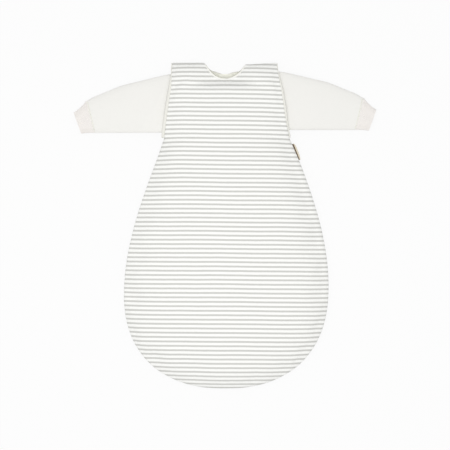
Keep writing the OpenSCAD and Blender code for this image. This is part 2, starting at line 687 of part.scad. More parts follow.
// ---- Sleeves ----
// The fold line runs straight along the armhole, just outside its binding.
function fold_x(s) =
    mix(armhole(sleeve_up), armhole(sleeve_top), (s - sleeve_up) / sleeve_w)
    + binding_w + fold_clear;
function out_of_armhole(s, t) = mix(armhole(s) - head_in, fold_x(s) - fold_gap, t);
seam_slant = 0.64 * cuff_slant;
seam_low = [sleeve_reach, sleeve_up];
seam_dir = [sin(seam_slant), cos(seam_slant)];
seam_high = seam_low + sleeve_end_w * seam_dir;
cuff_shift = cuff_len * [cos(cuff_slant), -sin(cuff_slant)];
cuff_low = 4;                    // the cuff's middle lies this much below the sleeve's
end_mid = seam_low + (sleeve_end_w / 2 - cuff_low) * seam_dir + cuff_shift;
end_low = end_mid - cuff_end_w / 2 * [sin(cuff_slant), cos(cuff_slant)];
end_high = end_mid + cuff_end_w / 2 * [sin(cuff_slant), cos(cuff_slant)];
lie = 0.5;                       // height of the cuff above the surface
sleeve_rise_power = 1.5;         // curve of the sleeve's upper edge

// A flattened ring between a lower and an upper edge point; d is its depth under the fabric.
ring_sides = 16;
function ring(low, high, z, h, d) =
    let (across = norm(high - low), mid = (low + high) / 2, dir = (high - low) / across)
    [for (i = [0 : ring_sides - 1])
        let (a = 360 * i / ring_sides, c = cos(a), v = sin(a),
             p = mid + dir * (across / 2 - d) * c)
        [p[0], foot_y + p[1], z + (h / 2 - d) * sign(v) * pow(abs(v), 0.8)]];
function sleeve_ring(t, d) =
    let (low = [mix(fold_x(sleeve_up) + fold_gap, seam_low[0], t), sleeve_up],
         high = [mix(fold_x(sleeve_top) + fold_gap, seam_high[0], t),
                 mix(sleeve_top, seam_high[1], pow(t, sleeve_rise_power))],
         h = mix(sleeve_h, sleeve_end_h, t))
    ring(low, high, mix(sleeve_z, lie + sleeve_end_h / 2, smooth(t * 1.1)), h, d);
module sleeve() {
    color("#f4f3ef") tube([for (t = [0, 0.25, 0.5, 0.75, 1]) sleeve_ring(t, 0)],
                          [for (t = [0, 0.25, 0.5, 0.75, 1]) sleeve_ring(t, jersey_t)]);
}
// The sleeve's head follows the armhole's curve and stays with the bag.
module sleeve_head() {
    function curve(ring, t) = [for (p = ring) [out_of_armhole(p[1] - foot_y, t), p[1], p[2]]];
    low = [0, sleeve_up];
    high = [0, sleeve_top];
    outer = ring(low, high, sleeve_z, sleeve_h, 0);
    inside = ring(low, high, sleeve_z, sleeve_h, jersey_t);
    color("#f4f3ef") tube([curve(outer, 0), curve(outer, 1)], [curve(inside, 0), curve(inside, 1)]);
}
module cuff() {
    step = layer_gap * [cos(cuff_slant), -sin(cuff_slant)];
    z = lie + sleeve_end_h / 2;
    function rings(d) = [
        ring(seam_low + step, seam_high + step, z, sleeve_end_h, d),
        ring(mix(seam_low, end_low, 0.4), mix(seam_high, end_high, 0.4), z, sleeve_end_h, d),
        ring(end_low, end_high, z, sleeve_end_h, d)];
    color("#f1ede9") tube(rings(0), rings(cuff_t));
}
module left_sleeve_head() { sleeve_head(); }
module left_sleeve() { sleeve(); }
module left_cuff() { cuff(); }
module right_sleeve_head() { mirror([1, 0, 0]) sleeve_head(); }
module right_sleeve() { mirror([1, 0, 0]) sleeve(); }
module right_cuff() { mirror([1, 0, 0]) cuff(); }

// ---- Side tag ----
// A folded strip whose fold points outwards, held in the left side seam.
tag_slope = (flank(tag_up + 5) - flank(tag_up - 5)) / 10;
module side_tag() {
    h = 2 * tag_ply + 0.4;
    color("#6b5548") translate([flank(tag_up) + 0.8, foot_y + tag_up, seam_up])
        rotate([0, 0, atan2(1, tag_slope) - 90]) translate([0, tag_len / 2, 0]) rotate([90, 0, 0])
            linear_extrude(tag_len) difference() {
                union() {
                    translate([0, -h / 2]) square([tag_w - h / 2, h]);
                    translate([tag_w - h / 2, 0]) circle(d = h);
                }
                translate([0.8, -0.2]) square([tag_w - h / 2 - 0.8, 0.4]);
            }
}

front_shell();
front_wadding();
front_lining();
left_back_shell();
left_back_wadding();
left_back_lining();
right_back_shell();
right_back_wadding();
right_back_lining();
front_neck_binding();
back_neck_binding();
left_armhole_binding();
right_armhole_binding();
left_zip_tape();
right_zip_tape();
left_zip_teeth();
right_zip_teeth();
zip_top_stops();
zip_bottom_stop();
zip_guard();
zip_slider();
zip_puller();
inner_front();
inner_back();
inner_placket();
stud_caps();
stud_sockets();
inner_neck_binding();
left_sleeve_head();
left_sleeve();
left_cuff();
right_sleeve_head();
right_sleeve();
right_cuff();
side_tag();
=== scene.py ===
"""Baby sleeping bag: a striped, padded outer bag over a thin inner bag with cuffed sleeves.

Sizes are in millimetres up to the moment a mesh is made, and heights "up the bag" (s) are
measured from its foot end. The bag lies on its back: +Y to the head, +Z out of the front and
+X to the wearer's left.
"""

from __future__ import annotations

import json
import logging
from dataclasses import dataclass, field
from enum import Enum
from math import cos, pi, radians, sin

import bpy
import numpy as np
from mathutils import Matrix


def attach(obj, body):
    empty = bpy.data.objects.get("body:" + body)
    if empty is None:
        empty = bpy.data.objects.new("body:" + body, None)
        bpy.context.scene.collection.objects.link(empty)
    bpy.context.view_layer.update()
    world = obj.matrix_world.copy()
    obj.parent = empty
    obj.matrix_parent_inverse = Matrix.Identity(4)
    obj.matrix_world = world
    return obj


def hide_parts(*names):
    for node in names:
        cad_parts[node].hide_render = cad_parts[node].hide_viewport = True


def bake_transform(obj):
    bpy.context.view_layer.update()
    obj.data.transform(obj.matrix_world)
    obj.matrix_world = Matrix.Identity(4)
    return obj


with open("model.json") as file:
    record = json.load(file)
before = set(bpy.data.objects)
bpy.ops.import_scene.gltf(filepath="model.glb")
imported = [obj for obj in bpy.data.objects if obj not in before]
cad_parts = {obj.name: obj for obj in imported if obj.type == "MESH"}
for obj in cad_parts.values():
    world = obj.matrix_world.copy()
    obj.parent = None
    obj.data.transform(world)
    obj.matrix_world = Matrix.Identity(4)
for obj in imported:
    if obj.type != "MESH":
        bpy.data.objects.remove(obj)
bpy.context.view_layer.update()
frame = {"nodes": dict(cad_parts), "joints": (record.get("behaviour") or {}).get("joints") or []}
LOG = logging.getLogger("sleeping_bag")
MM = 0.001
UV_UNIT = 100.0  # millimetres of cloth per unit of its UV map
CUT_SHARE = 0.97  # a sheet's area as cut, as a share of its area as it lies
Array = np.ndarray


class Side(Enum):
    """The wearer's two sides, as the sign of x."""

    LEFT = 1
    RIGHT = -1

    @property
    def word(self) -> str:
        """The side's name as it stands in the names of bodies and nodes."""
        return self.name.lower()


# ---- Curves ----
def clamp(t: Array) -> Array:
    """Limit t to 0..1."""
    return np.clip(t, 0.0, 1.0)


def smooth(t: Array) -> Array:
    """Ease t from 0 to 1 with flat ends: 3t^2 - 2t^3."""
    c = clamp(t)
    return c * c * (3.0 - 2.0 * c)


def mix(a: Array, b: Array, t: Array) -> Array:
    """Blend from a to b as t goes from 0 to 1."""
    return a + (b - a) * t


def rim(t: Array) -> Array:
    """Quarter circle that leaves 0 steeply and arrives level at 1."""
    return np.sqrt(1.0 - (1.0 - clamp(t)) ** 2)


def waves(x: Array, y: Array, seed: int, count: int, shortest: float, longest: float) -> Array:
    """Sum of plane waves with random directions, lengths and phases, about 1 high.

    Args:
        x, y: Places in millimetres.
        seed: Seed of the random draws.
        count: Number of waves.
        shortest, longest: Range of wavelengths in millimetres.

    Returns:
        sin(2 pi * distance along the wave / its length + phase), summed and divided by
        sqrt(count).
    """
    rng = np.random.default_rng(seed)
    angle = rng.uniform(0.0, pi, count)
    size = rng.uniform(shortest, longest, count)
    phase = rng.uniform(0.0, 2.0 * pi, count)
    along = x[..., None] * np.cos(angle) + y[..., None] * np.sin(angle)
    return np.sin(2.0 * pi * along / size + phase).sum(axis=-1) / np.sqrt(count)


def join(*parts: Array) -> Array:
    """Join runs of numbers, each of which starts where the one before it ends."""
    return np.concatenate([parts[0]] + [p[1:] for p in parts[1:]])


# ---- Meshes ----
@dataclass
class Faces:
    """Corner numbers of a mesh's quads and triangles."""

    quads: Array
    tris: Array = field(default_factory=lambda: np.zeros((0, 3), dtype=np.int64))


def grid_quads(rows: int, cols: int, wrap: bool = False) -> Array:
    """Number the quads of a grid of points, row by row.

    Args:
        rows, cols: Size of the grid.
        wrap: Whether each row's last point joins its first.

    Returns:
        (quads, 4) point numbers.
    """
    i = np.arange(rows - 1)[:, None]
    j = np.arange(cols if wrap else cols - 1)[None, :]
    a = i * cols + j
    b = i * cols + (j + 1) % cols
    return np.stack([a, b, b + cols, a + cols], axis=-1).reshape(-1, 4)


def strip_quads(one: Array, other: Array, wrap: bool = False) -> Array:
    """Number the quads between two runs of points.

    Args:
        one, other: Point numbers, as many in each run.
        wrap: Whether each run's end joins its start.

    Returns:
        (quads, 4) point numbers.
    """
    nxt = np.roll(one, -1), np.roll(other, -1)
    quads = np.stack([one, nxt[0], nxt[1], other], axis=-1)
    return quads if wrap else quads[:-1]


def volume(points: Array, faces: Faces) -> float:
    """Signed volume within a closed mesh.

    Args:
        points: (n, 3) places.
        faces: Corner numbers.

    Returns:
        The sum of a . (b x c) / 6 over the triangles, positive where they point outwards.
    """
    q, t = faces.quads, faces.tris
    tri = np.concatenate([q[:, [0, 1, 2]], q[:, [0, 2, 3]], t])
    a, b, c = points[tri[:, 0]], points[tri[:, 1]], points[tri[:, 2]]
    return float(np.einsum("ij,ij->i", a, np.cross(b, c)).sum() / 6.0)


def make_piece(name: str, points: Array, faces: Faces, uv: Array, finish: bpy.types.Material,
               sharp: float = 50.0) -> bpy.types.Object:
    """Put a closed surface into a new object at the origin, with its faces outwards.

    Args:
        name: Name of the piece.
        points: (n, 3) places in millimetres.
        faces: Corner numbers.
        uv: (n, 2) cloth coordinates of the points, in millimetres.
        finish: Its material.
        sharp: Angle in degrees past which an edge is left sharp.

    Returns:
        The new object.
    """
    points = points.reshape(-1, 3)
    turn = volume(points, faces) < 0.0
    quads = faces.quads[:, ::-1] if turn else faces.quads
    tris = faces.tris[:, ::-1] if turn else faces.tris
    corners = np.concatenate([quads.ravel(), tris.ravel()]).astype(np.int32)
    sizes = np.concatenate([np.full(len(quads), 4), np.full(len(tris), 3)]).astype(np.int32)
    mesh = bpy.data.meshes.new(name)
    mesh.vertices.add(len(points))
    mesh.vertices.foreach_set("co", (points * MM).astype(np.float32).ravel())
    mesh.loops.add(len(corners))
    mesh.loops.foreach_set("vertex_index", corners)
    mesh.polygons.add(len(sizes))
    mesh.polygons.foreach_set("loop_start", (np.cumsum(sizes) - sizes).astype(np.int32))
    layer = mesh.uv_layers.new(name="cloth")
    flat_uv = (uv.reshape(-1, 2)[corners] / UV_UNIT).astype(np.float32)
    layer.uv.foreach_set("vector", flat_uv.ravel())
    mesh.polygons.foreach_set("use_smooth", np.ones(len(sizes), dtype=bool))
    mesh.update(calc_edges=True)
    mesh.validate()
    mesh.set_sharp_from_angle(angle=radians(sharp))
    mesh.materials.append(finish)
    piece = bpy.data.objects.new(name, mesh)
    bpy.context.scene.collection.objects.link(piece)
    LOG.info("%s: %d faces", name, len(sizes))
    return piece


def sheet_faces(rows: int, cols: int) -> Faces:
    """Faces of a slab between an upper and a lower grid of the same size.

    Args:
        rows, cols: Size of each grid.

    Returns:
        Both grids' quads, and the walls round their rim.
    """
    n = rows * cols
    number = np.arange(n).reshape(rows, cols)
    rim_run = np.concatenate([number[0, :-1], number[:-1, -1], number[-1, :0:-1], number[:0:-1, 0]])
    walls = strip_quads(rim_run + n, rim_run, wrap=True)
    top = grid_quads(rows, cols)
    return Faces(np.concatenate([top, top[:, ::-1] + n, walls]))


def slab(name: str, over: Array, under: Array, finish: bpy.types.Material, uv: Array | None = None
         ) -> bpy.types.Object:
    """Make a piece of cloth that fills the space between two grids.

    Args:
        name: Name of the piece.
        over, under: (rows, cols, 3) upper and lower sides.
        finish: Its material.
        uv: (rows, cols, 2) cloth coordinates, or None for x and y.

    Returns:
        The new object.
    """
    rows, cols = over.shape[:2]
    points = np.stack([over, under])
    cloth = points[..., :2] if uv is None else np.stack([uv, uv])
    return make_piece(name, points, sheet_faces(rows, cols), cloth, finish)


def hose(name: str, outer: Array, inner: Array, finish: bpy.types.Material, uv: Array
         ) -> bpy.types.Object:
    """Make a tube's wall between an outer and an inner set of rings.

    Args:
        name: Name of the piece.
        outer, inner: (rings, sides, 3) outside and inside.
        finish: Its material.
        uv: (rings, sides, 2) cloth coordinates.

    Returns:
        The new object.
    """
    rings, sides = outer.shape[:2]
    n = rings * sides
    number = np.arange(n).reshape(rings, sides)
    skin = grid_quads(rings, sides, wrap=True)
    ends = [strip_quads(number[0] + n, number[0], wrap=True),
            strip_quads(number[-1], number[-1] + n, wrap=True)]
    faces = Faces(np.concatenate([skin, skin[:, ::-1] + n, *ends]))
    return make_piece(name, np.stack([outer, inner]), faces, np.stack([uv, uv]), finish)


def unit(v: Array) -> Array:
    """Scale vectors in the last axis to length 1."""
    return v / np.maximum(np.linalg.norm(v, axis=-1, keepdims=True), 1e-9)


def run_along(path: Array) -> Array:
    """Distance along a path of points, from 0."""
    return np.concatenate([[0.0], np.cumsum(np.linalg.norm(np.diff(path, axis=0), axis=1))])


def band(name: str, path: Array, across: Array, half_w: Array | float, half_t: Array | float,
         finish: bpy.types.Material, sides: int = 20, closed: bool = False, power: float = 0.7
         ) -> bpy.types.Object:
    """Carry a rounded section along a path.

    The section is a superellipse, width * cos^power and height * sin^power: its width lies
    along `across` and its height along the path's direction x across.

    Args:
        name: Name of the piece.
        path: (n, 3) middle line.
        across: (n, 3) directions of the section's width.
        half_w, half_t: Half widths and half heights of the section.
        finish: Its material.
        sides: Points round the section.
        closed: Whether the path's end meets its start.
        power: 1 for an oval, less for squarer.

    Returns:
        The new object.
    """
    n = len(path)
    half_w, half_t = np.broadcast_to(half_w, n), np.broadcast_to(half_t, n)
    ends = np.concatenate([path[-1:], path, path[:1]]) if closed else path
    along = (ends[2:] - ends[:-2]) if closed else np.gradient(path, axis=0)
    across = unit(np.broadcast_to(across, path.shape))
    up = unit(np.cross(along, across))
    a = np.linspace(0.0, 2.0 * pi, sides, endpoint=False)
    c, v = (np.sign(f) * np.abs(f) ** power for f in (np.cos(a), np.sin(a)))
    points = (path[:, None] + across[:, None] * (half_w[:, None] * c)[..., None]
              + up[:, None] * (half_t[:, None] * v)[..., None])
    run = run_along(path)
    girth = a * float(half_w.mean() + half_t.mean()) / 2.0
    uv = np.stack(np.broadcast_arrays(girth[None, :], run[:, None]), axis=-1)
    number = np.arange(n * sides).reshape(n, sides)
    skin = grid_quads(n, sides, wrap=True)
    if closed:
        skin = np.concatenate([skin, strip_quads(number[-1], number[0], wrap=True)])
        return make_piece(name, points, Faces(skin), uv, finish)
    points = np.concatenate([points.reshape(-1, 3), path[[0, -1]]])
    uv = np.concatenate([uv.reshape(-1, 2), [[0.0, 0.0], [0.0, run[-1]]]])
    hub = n * sides
    caps = [np.stack([np.full(sides, hub), np.roll(number[0], -1), number[0]], axis=-1),
            np.stack([np.full(sides, hub + 1), number[-1], np.roll(number[-1], -1)], axis=-1)]
    return make_piece(name, points, Faces(skin, np.concatenate(caps)), uv, finish)


def stitches(name: str, path: Array, finish: bpy.types.Material, length: float = 2.4,
             pitch: float = 3.1, thick: float = 0.32) -> bpy.types.Object:
    """Lay a row of stitches along a path: each is a six-sided grain, pointed at both ends.

    Args:
        name: Name of the piece.
        path: (n, 3) line on the cloth's surface.
        finish: Its material.
        length, pitch, thick: Length, spacing and half thickness of a stitch.

    Returns:
        The new object.
    """
    run = run_along(path)
    start = np.arange(0.5 * pitch, run[-1] - length, pitch)
    grain = np.array([0.0, 0.18, 0.5, 0.82, 1.0])
    width = np.array([0.05, 0.8, 1.0, 0.8, 0.05]) * thick
    at = start[:, None] + grain * length
    mid = np.stack([np.interp(at, run, path[:, k]) for k in range(3)], axis=-1)
    along = unit(mid[:, -1:] - mid[:, :1])
    across = unit(np.cross(along, [0.0, 0.0, 1.0]))
    over = np.cross(across, along)
    a = np.linspace(0.0, 2.0 * pi, 6, endpoint=False)
    ring = (mid[:, :, None] + across[:, :, None] * (width[:, None] * np.cos(a))[None, ..., None]
            + over[:, :, None] * (width[:, None] * np.sin(a) * 0.7)[None, ..., None])
    per = 5 * 6
    one = np.concatenate([grid_quads(5, 6, wrap=True),
                          [[0, 1, 2, 3], [0, 3, 4, 5], [27, 26, 25, 24], [29, 28, 27, 24]]])
    quads = (one[None] + per * np.arange(len(start))[:, None, None]).reshape(-1, 4)
    uv = np.stack(np.broadcast_arrays(at[..., None], a * thick), axis=-1)
    return make_piece(name, ring, Faces(quads), uv, finish, sharp=180.0)


# ---- Form of the bag ----
@dataclass(frozen=True)
class Layer:
    """How far a layer of cloth lies inside the bag's outline, in mm."""

    side: float
    foot: float
    shoulder: float
    arm: float

    @staticmethod
    def outer(depth: float) -> Layer:
        """A layer of the outer bag at this depth under its outside."""
        return Layer(depth, depth, depth, 0.0)

    @staticmethod
    def inner(depth: float) -> Layer:
        """A layer of the shorter inner bag at this depth under the outer bag's outside."""
        return Layer(depth, depth + 45.0, depth + 5.0, 15.0)


SHELL_IN = 1.0
WADDING_OUT, WADDING_IN = 1.2, 5.2
LINING_OUT, LINING_IN = 5.4, 6.2
INNER_OUT, INNER_IN = 6.8, 7.8


@dataclass(frozen=True)
class BagForm:
    """Sizes and curves of the outer bag; every layer of cloth is worked out from them."""

    length: float = 640.0
    width: float = 402.0
    belly_up: float = 194.0
    underarm_up: float = 492.0
    underarm_w: float = 246.0
    shoulder_w: float = 206.0
    neck_w: float = 82.0
    front_drop: float = 33.0
    back_drop: float = 23.0
    inner_front_drop: float = 46.0
    inner_back_drop: float = 38.0
    seam_up: float = 15.0
    belly_t: float = 42.0
    chest_t: float = 38.0
    armhole_rise: float = 16.0
    shoulder_fall: float = 35.0
    back_fall: float = 18.0
    back_rim: float = 0.22
    foot_power: float = 2.3
    neck_power: float = 2.3
    dome_power: float = 2.8
    side_slope: float = -0.4
    corner_angle: float = 40.0
    zip_bottom: float = 178.0
    zip_gap: float = 14.0
    wadding_edge: float = 17.5
    neck_sink: float = 0.7
    neck_close: float = 14.0
    neck_close_run: float = 24.0
    dip_from: float = 54.0
    dip_run: float = 22.0
    dip_half: float = 18.0
    dip_side_run: float = 50.0
    lean: float = 5.6
    lean_left_at_arm: float = 0.38
    shoulder_low: float = 3.4
    tip_from: float = 580.0
    tip_run: float = 60.0
    seam_draw: float = 0.9
    seam_draw_h: float = 1.5

    def opening(self, s: Array) -> Array:
        """How open the armhole is at height s: 0 at its ends, 1 in its middle."""
        share = clamp((s - self.underarm_up) / (self.length - self.underarm_up))
        return np.maximum(0.0, np.sin(pi * share)) ** 0.6

    def armhole(self, s: Array) -> Array:
        """Half-width at the armhole's edge, which falls back to the shoulder on a power curve."""
        share = clamp((s - self.underarm_up) / (self.length - self.underarm_up))
        return mix(self.shoulder_w / 2, self.underarm_w / 2, (1.0 - share) ** 1.4)

    def flank(self, s: Array) -> Array:
        """Half-width between belly and underarm: a Hermite curve, upright at the belly.

        Args:
            s: Heights up the bag.

        Returns:
            The two half-widths blended by 3t^2 - 2t^3, plus run * side_slope * (t^3 - t^2).
        """
        run = self.underarm_up - self.belly_up
        t = (s - self.belly_up) / run
        high = 3 * t**2 - 2 * t**3
        ends = self.width / 2 * (1 - high) + self.underarm_w / 2 * high
        return ends + run * self.side_slope * (t**3 - t**2)

    def half_width(self, s: Array, lay: Layer) -> Array:
        """Half-width of a layer: a superellipse at the foot, then the flank and the armhole.

        Args:
            s: Heights up the bag.
            lay: The layer.

        Returns:
            Its half-width at each height.
        """
        low = clamp((self.belly_up - s) / (self.belly_up - lay.foot))
        foot = (self.width / 2 - lay.side) * (1 - low**self.foot_power) ** (1 / self.foot_power)
        inset = mix(lay.side, lay.arm, clamp(self.opening(s) / 0.24))
        return np.where(s < self.belly_up, foot,
                        np.where(s < self.underarm_up, self.flank(s) - lay.side,
                                 self.armhole(s) - inset))

    def foot_line(self, x: Array, lay: Layer) -> Array:
        """Height of the round foot's edge.

        Args:
            x: Places across the bag.
            lay: The layer.

        Returns:
            belly - (belly - foot) * (1 - t^p)^(1/p), where t is |x| over the half-width.
        """
        t = clamp(np.abs(x) / (self.width / 2 - lay.side))
        return self.belly_up - (self.belly_up - lay.foot) * (1 - t**self.foot_power) ** (
            1 / self.foot_power)

    def top_line(self, x: Array, lay: Layer, drop: float) -> Array:
        """Height of the neckline and the shoulder seam.

        The drop is deepest in the middle, drop * (1 - t^power), where t is |x| over half the neck.
        A back's neckline, which drops less, closes on the front's towards its sides.

        Args:
            x: Places across the bag.
            lay: The layer.
            drop: Drop of its neckline in the middle.

        Returns:
            Heights up the bag.
        """
        t = clamp(np.abs(x) / (self.neck_w / 2))
        short = max(0.0, self.front_drop - drop)
        depth = (drop + short) * (1 - t**self.neck_power)
        depth = depth - short * (1 - smooth((np.abs(x) - self.neck_close) / self.neck_close_run))
        return np.minimum(self.length - lay.shoulder, self.length - depth)

    def nearness(self, x: Array, s: Array, lay: Layer) -> Array:
        """How near a point is to the side seam and the foot.

        Args:
            x, s: Places across and up the bag.
            lay: The layer.

        Returns:
            0 in the middle and 1 on the seam: the superellipse's radius below the belly, and
            |x| over the half-width above it.
        """
        low = np.maximum(0.0, (self.belly_up - s) / (self.belly_up - lay.foot))
        t = np.abs(x) / (self.width / 2 - lay.side)
        foot = (t**self.foot_power + low**self.foot_power) ** (1 / self.foot_power)
        side = np.abs(x) / np.maximum(self.half_width(s, lay), 1e-6)
        return np.minimum(1.0, np.where(s < self.belly_up, foot, side))

    def front_z(self, x: Array, s: Array, lay: Layer) -> Array:
        """Height of the front: a dome over the seam that falls to the shoulder seam.

        Args:
            x, s: Places across and up the bag.
            lay: The layer.

        Returns:
            seam + fall * (from the armhole's edge to the full height by sqrt(1 - nearness^power)).
        """
        d = lay.side
        t = smooth((s - self.belly_up) / (self.underarm_up - self.belly_up))
        full = mix(self.belly_t, self.chest_t, t) - self.seam_up - d
        edge = (self.armhole_rise - d) * self.opening(s)
        dome = np.sqrt(np.maximum(0.0, 1 - self.nearness(x, s, lay) ** self.dome_power))
        fall = rim((self.length - lay.shoulder - s) / self.shoulder_fall)
        return self.seam_up + fall * mix(edge, full, dome)

    def back_z(self, x: Array, s: Array, lay: Layer) -> Array:
        """Height of the back: flat, and rounded up to the seam all the way round.

        Args:
            x, s: Places across and up the bag.
            lay: The layer.

        Returns:
            seam - depth * fall * (a quarter circle over the outer part of the half-width).
        """
        flat = rim((1 - self.nearness(x, s, lay)) / self.back_rim)
        fall = rim((self.length - lay.shoulder - s) / self.back_fall)
        return self.seam_up - (self.seam_up - lay.side) * fall * mix(self.opening(s), 1.0, flat)

    def groove(self, x: Array, s: Array, start: float, end: float) -> Array:
        """Share of a rise beside the zip: 1 out to |x| = start, easing to 0 at |x| = end."""
        along = smooth((s - self.zip_bottom + 50.0) / 20.0)
        return along * (1 - smooth((np.abs(x) - start) / (end - start)))

    def slit(self, s: Array) -> Array:
        """How far the back's two edges have parted at height s, from 0 to 1."""
        return clamp((s - self.zip_bottom + 12.0) / 4.0)

    def grid(self, shares: Array, heights: Array, lay: Layer, drop: float) -> tuple[Array, Array]:
        """Places of a grid that follows the foot's and the neck's edges.

        Args:
            shares: (rows, cols) share of the half-width of each point.
            heights: (rows,) height at which each row meets the side.
            lay: The layer.
            drop: Drop of its neckline.

        Returns:
            x and s of each point.
        """
        s = heights[:, None]
        corner = self.belly_up - (self.belly_up - lay.foot) * cos(radians(self.corner_angle))
        top = self.length - lay.shoulder
        ends = self.half_width(np.array([corner, top]), lay)
        low = clamp((self.belly_up - s) / (self.belly_up - corner))
        high = clamp((s - self.underarm_up) / (top - self.underarm_up))
        up = (s + low * (self.foot_line(shares * ends[0], lay) - corner)
              + high * (self.top_line(shares * ends[1], lay, drop) - top))
        return shares * self.half_width(s, lay), up

    def heights(self, lay: Layer, foot: int, flank: int, arm: int) -> Array:
        """Heights of a grid's rows, closer together at the ends of the armhole.

        Args:
            lay: The layer.
            foot, flank, arm: Rows below the belly, to the underarm and past it.

        Returns:
            (rows,) heights up the bag.
        """
        angles = np.radians(np.linspace(self.corner_angle, 90.0, foot))
        low = self.belly_up - (self.belly_up - lay.foot) * np.cos(angles)
        rise = (1 - np.cos(np.linspace(0.0, pi, arm))) / 2
        return join(low, np.linspace(self.belly_up, self.underarm_up, flank),
                    mix(self.underarm_up, self.length - lay.shoulder, rise))

    def lie(self, x: Array, s: Array) -> tuple[Array, Array]:
        """How far the cloth lies from its pattern, as it was laid down.

        The sides lean to the left, most at the chest and not at the foot, and the left shoulder
        lies lower beside the neck than at its tip.

        Args:
            x, s: Places across and up the bag.

        Returns:
            How far it lies to the left, and up the bag.
        """
        tip = smooth((s - self.tip_from) / self.tip_run)
        kept = mix(1.0, self.lean_left_at_arm, smooth((s - 430.0) / 110.0))
        lean = self.lean * smooth(s / 420.0) * kept * (1 - 1.5 * tip)
        low = smooth((x - 12.0) / 26.0) * clamp((104.0 - x) / 55.0)
        return lean * smooth(np.abs(x) / 110.0), -self.shoulder_low * tip * low

    def neck_dip(self, x: Array, s: Array) -> Array:
        """How far the front sinks towards the neckline: 1 at its middle, 0 from 22 mm below it."""
        along = smooth((s - self.length + self.dip_from) / self.dip_run)
        return along * (1 - smooth((np.abs(x) - self.dip_half) / self.dip_side_run))

    def place(self, x: Array, s: Array, z: Array) -> Array:
        """Put points of the form where the cloth lies.

        The side and foot seam is drawn in, by seam_draw * exp(-((z - seam) / seam_draw_h)^2),
        towards the middle of the bag, and the front sinks towards the neckline.

        Args:
            x, s, z: Places across and up the bag, and heights.

        Returns:
            (..., 3) places in the frame.
        """
        sway, rise = self.lie(x, s)
        z = z - self.neck_sink * np.maximum(0.0, z - self.seam_up) * self.neck_dip(x, s)
        near = smooth((self.nearness(x, s, Layer.outer(0.0)) - 0.9) / 0.1)
        near = near * smooth((self.underarm_up + 4.0 - s) / 12.0)
        low = np.minimum(0.0, s - self.belly_up)
        reach = np.maximum(np.hypot(x, low), 1e-6)
        draw = self.seam_draw * near * np.exp(-(((z - self.seam_up) / self.seam_draw_h) ** 2))
        up = s + rise - draw * low / reach - self.length / 2
        return np.stack([x + sway - draw * x / reach, up, z], axis=-1)


@dataclass(frozen=True)
class Softness:
    """Unevenness of padded cloth: broad swells, and puckers that die out away from a seam."""

    form: BagForm
    swell: float = 0.55
    pucker: float = 0.42
    seed: int = 7

    def seam_distance(self, x: Array, s: Array, lay: Layer, drop: float) -> Array:
        """Distance to the nearest sewn edge, in millimetres."""
        side = (1 - self.form.nearness(x, s, lay)) * np.maximum(self.form.half_width(s, lay), 60.0)
        return np.maximum(0.0, np.minimum(side, self.form.top_line(x, lay, drop) - s))

    def height(self, x: Array, s: Array, lay: Layer, drop: float) -> Array:
        """Height to add to the smooth form.

        Args:
            x, s: Places across and up the bag.
            lay: The layer.
            drop: Drop of its neckline.

        Returns:
            Broad swells that fade in over 40 mm from the seam, plus slanting puckers times
            exp(-distance / 9 mm): 0 at every edge.
        """
        off = self.seam_distance(x, s, lay, drop)
        broad = waves(x, s, self.seed, 9, 70.0, 210.0) * smooth(off / 40.0)
        run = s - 0.9 * np.abs(x) + 0.4 * x
        ripple = (0.5 * np.sin(2 * pi * run / 12.7 + 1.4 * np.sin(2 * pi * run / 83.0))
                  + 0.35 * np.sin(2 * pi * run / 8.1 + 2.0) + 0.4 * np.sin(2 * pi * run / 31.0))
        near = np.exp(-off / 9.0) * (1 - np.exp(-((off / 2.2) ** 2)))
        return self.swell * broad + self.pucker * ripple * near


# ---- Shaders ----
def linear(rgb: tuple[float, float, float]) -> tuple[float, float, float, float]:
    """Turn a colour written in 0..255 display values into the shader's linear values.

    Args:
        rgb: Red, green and blue.

    Returns:
        Linear red, green and blue in 0..1, and an alpha of 1.
    """
    c = np.array(rgb) / 255.0
    out = np.where(c <= 0.04045, c / 12.92, ((c + 0.055) / 1.055) ** 2.4)
    return (float(out[0]), float(out[1]), float(out[2]), 1.0)


class Sock:
    """A value in a shader; sums and products on it add Math nodes."""

    def __init__(self, shader: Shader, out: bpy.types.NodeSocket) -> None:
        """Wrap the output socket `out` of a node of `shader`."""
        self.shader = shader
        self.out = out

    def _math(self, operation: str, *values: Value) -> Sock:
        """Add a Math node on these values."""
        return self.shader.make("ShaderNodeMath", {"operation": operation}, dict(enumerate(values)))

    def __add__(self, other: Value) -> Sock:
        """Sum."""
        return self._math("ADD", self, other)

    __radd__ = __add__

    def __sub__(self, other: Value) -> Sock:
        """Difference."""
        return self._math("SUBTRACT", self, other)

    def __rsub__(self, other: Value) -> Sock:
        """Difference from a number."""
        return self._math("SUBTRACT", other, self)

    def __mul__(self, other: Value) -> Sock:
        """Product."""
        return self._math("MULTIPLY", self, other)

    __rmul__ = __mul__

    def __truediv__(self, other: Value) -> Sock:
        """Quotient."""
        return self._math("DIVIDE", self, other)

    def sine(self) -> Sock:
        """Sine of the value, in radians."""
        return self._math("SINE", self)

    def size(self) -> Sock:
        """The value without its sign."""
        return self._math("ABSOLUTE", self)

    def fraction(self) -> Sock:
        """What is left over from whole numbers."""
        return self._math("FRACT", self)

    def eased(self, low: float, high: float) -> Sock:
        """Ease the value between two limits.

        Args:
            low, high: The value at which the result is 0, and 1; low may be the larger.

        Returns:
            0 below `low`, 1 above `high` and eased between them.
        """
        return self.shader.make(
            "ShaderNodeMapRange", {"interpolation_type": "SMOOTHSTEP"},
            {"Value": self, "From Min": min(low, high), "From Max": max(low, high),
             "To Min": 0.0 if low < high else 1.0, "To Max": 1.0 if low < high else 0.0})


Value = Sock | float


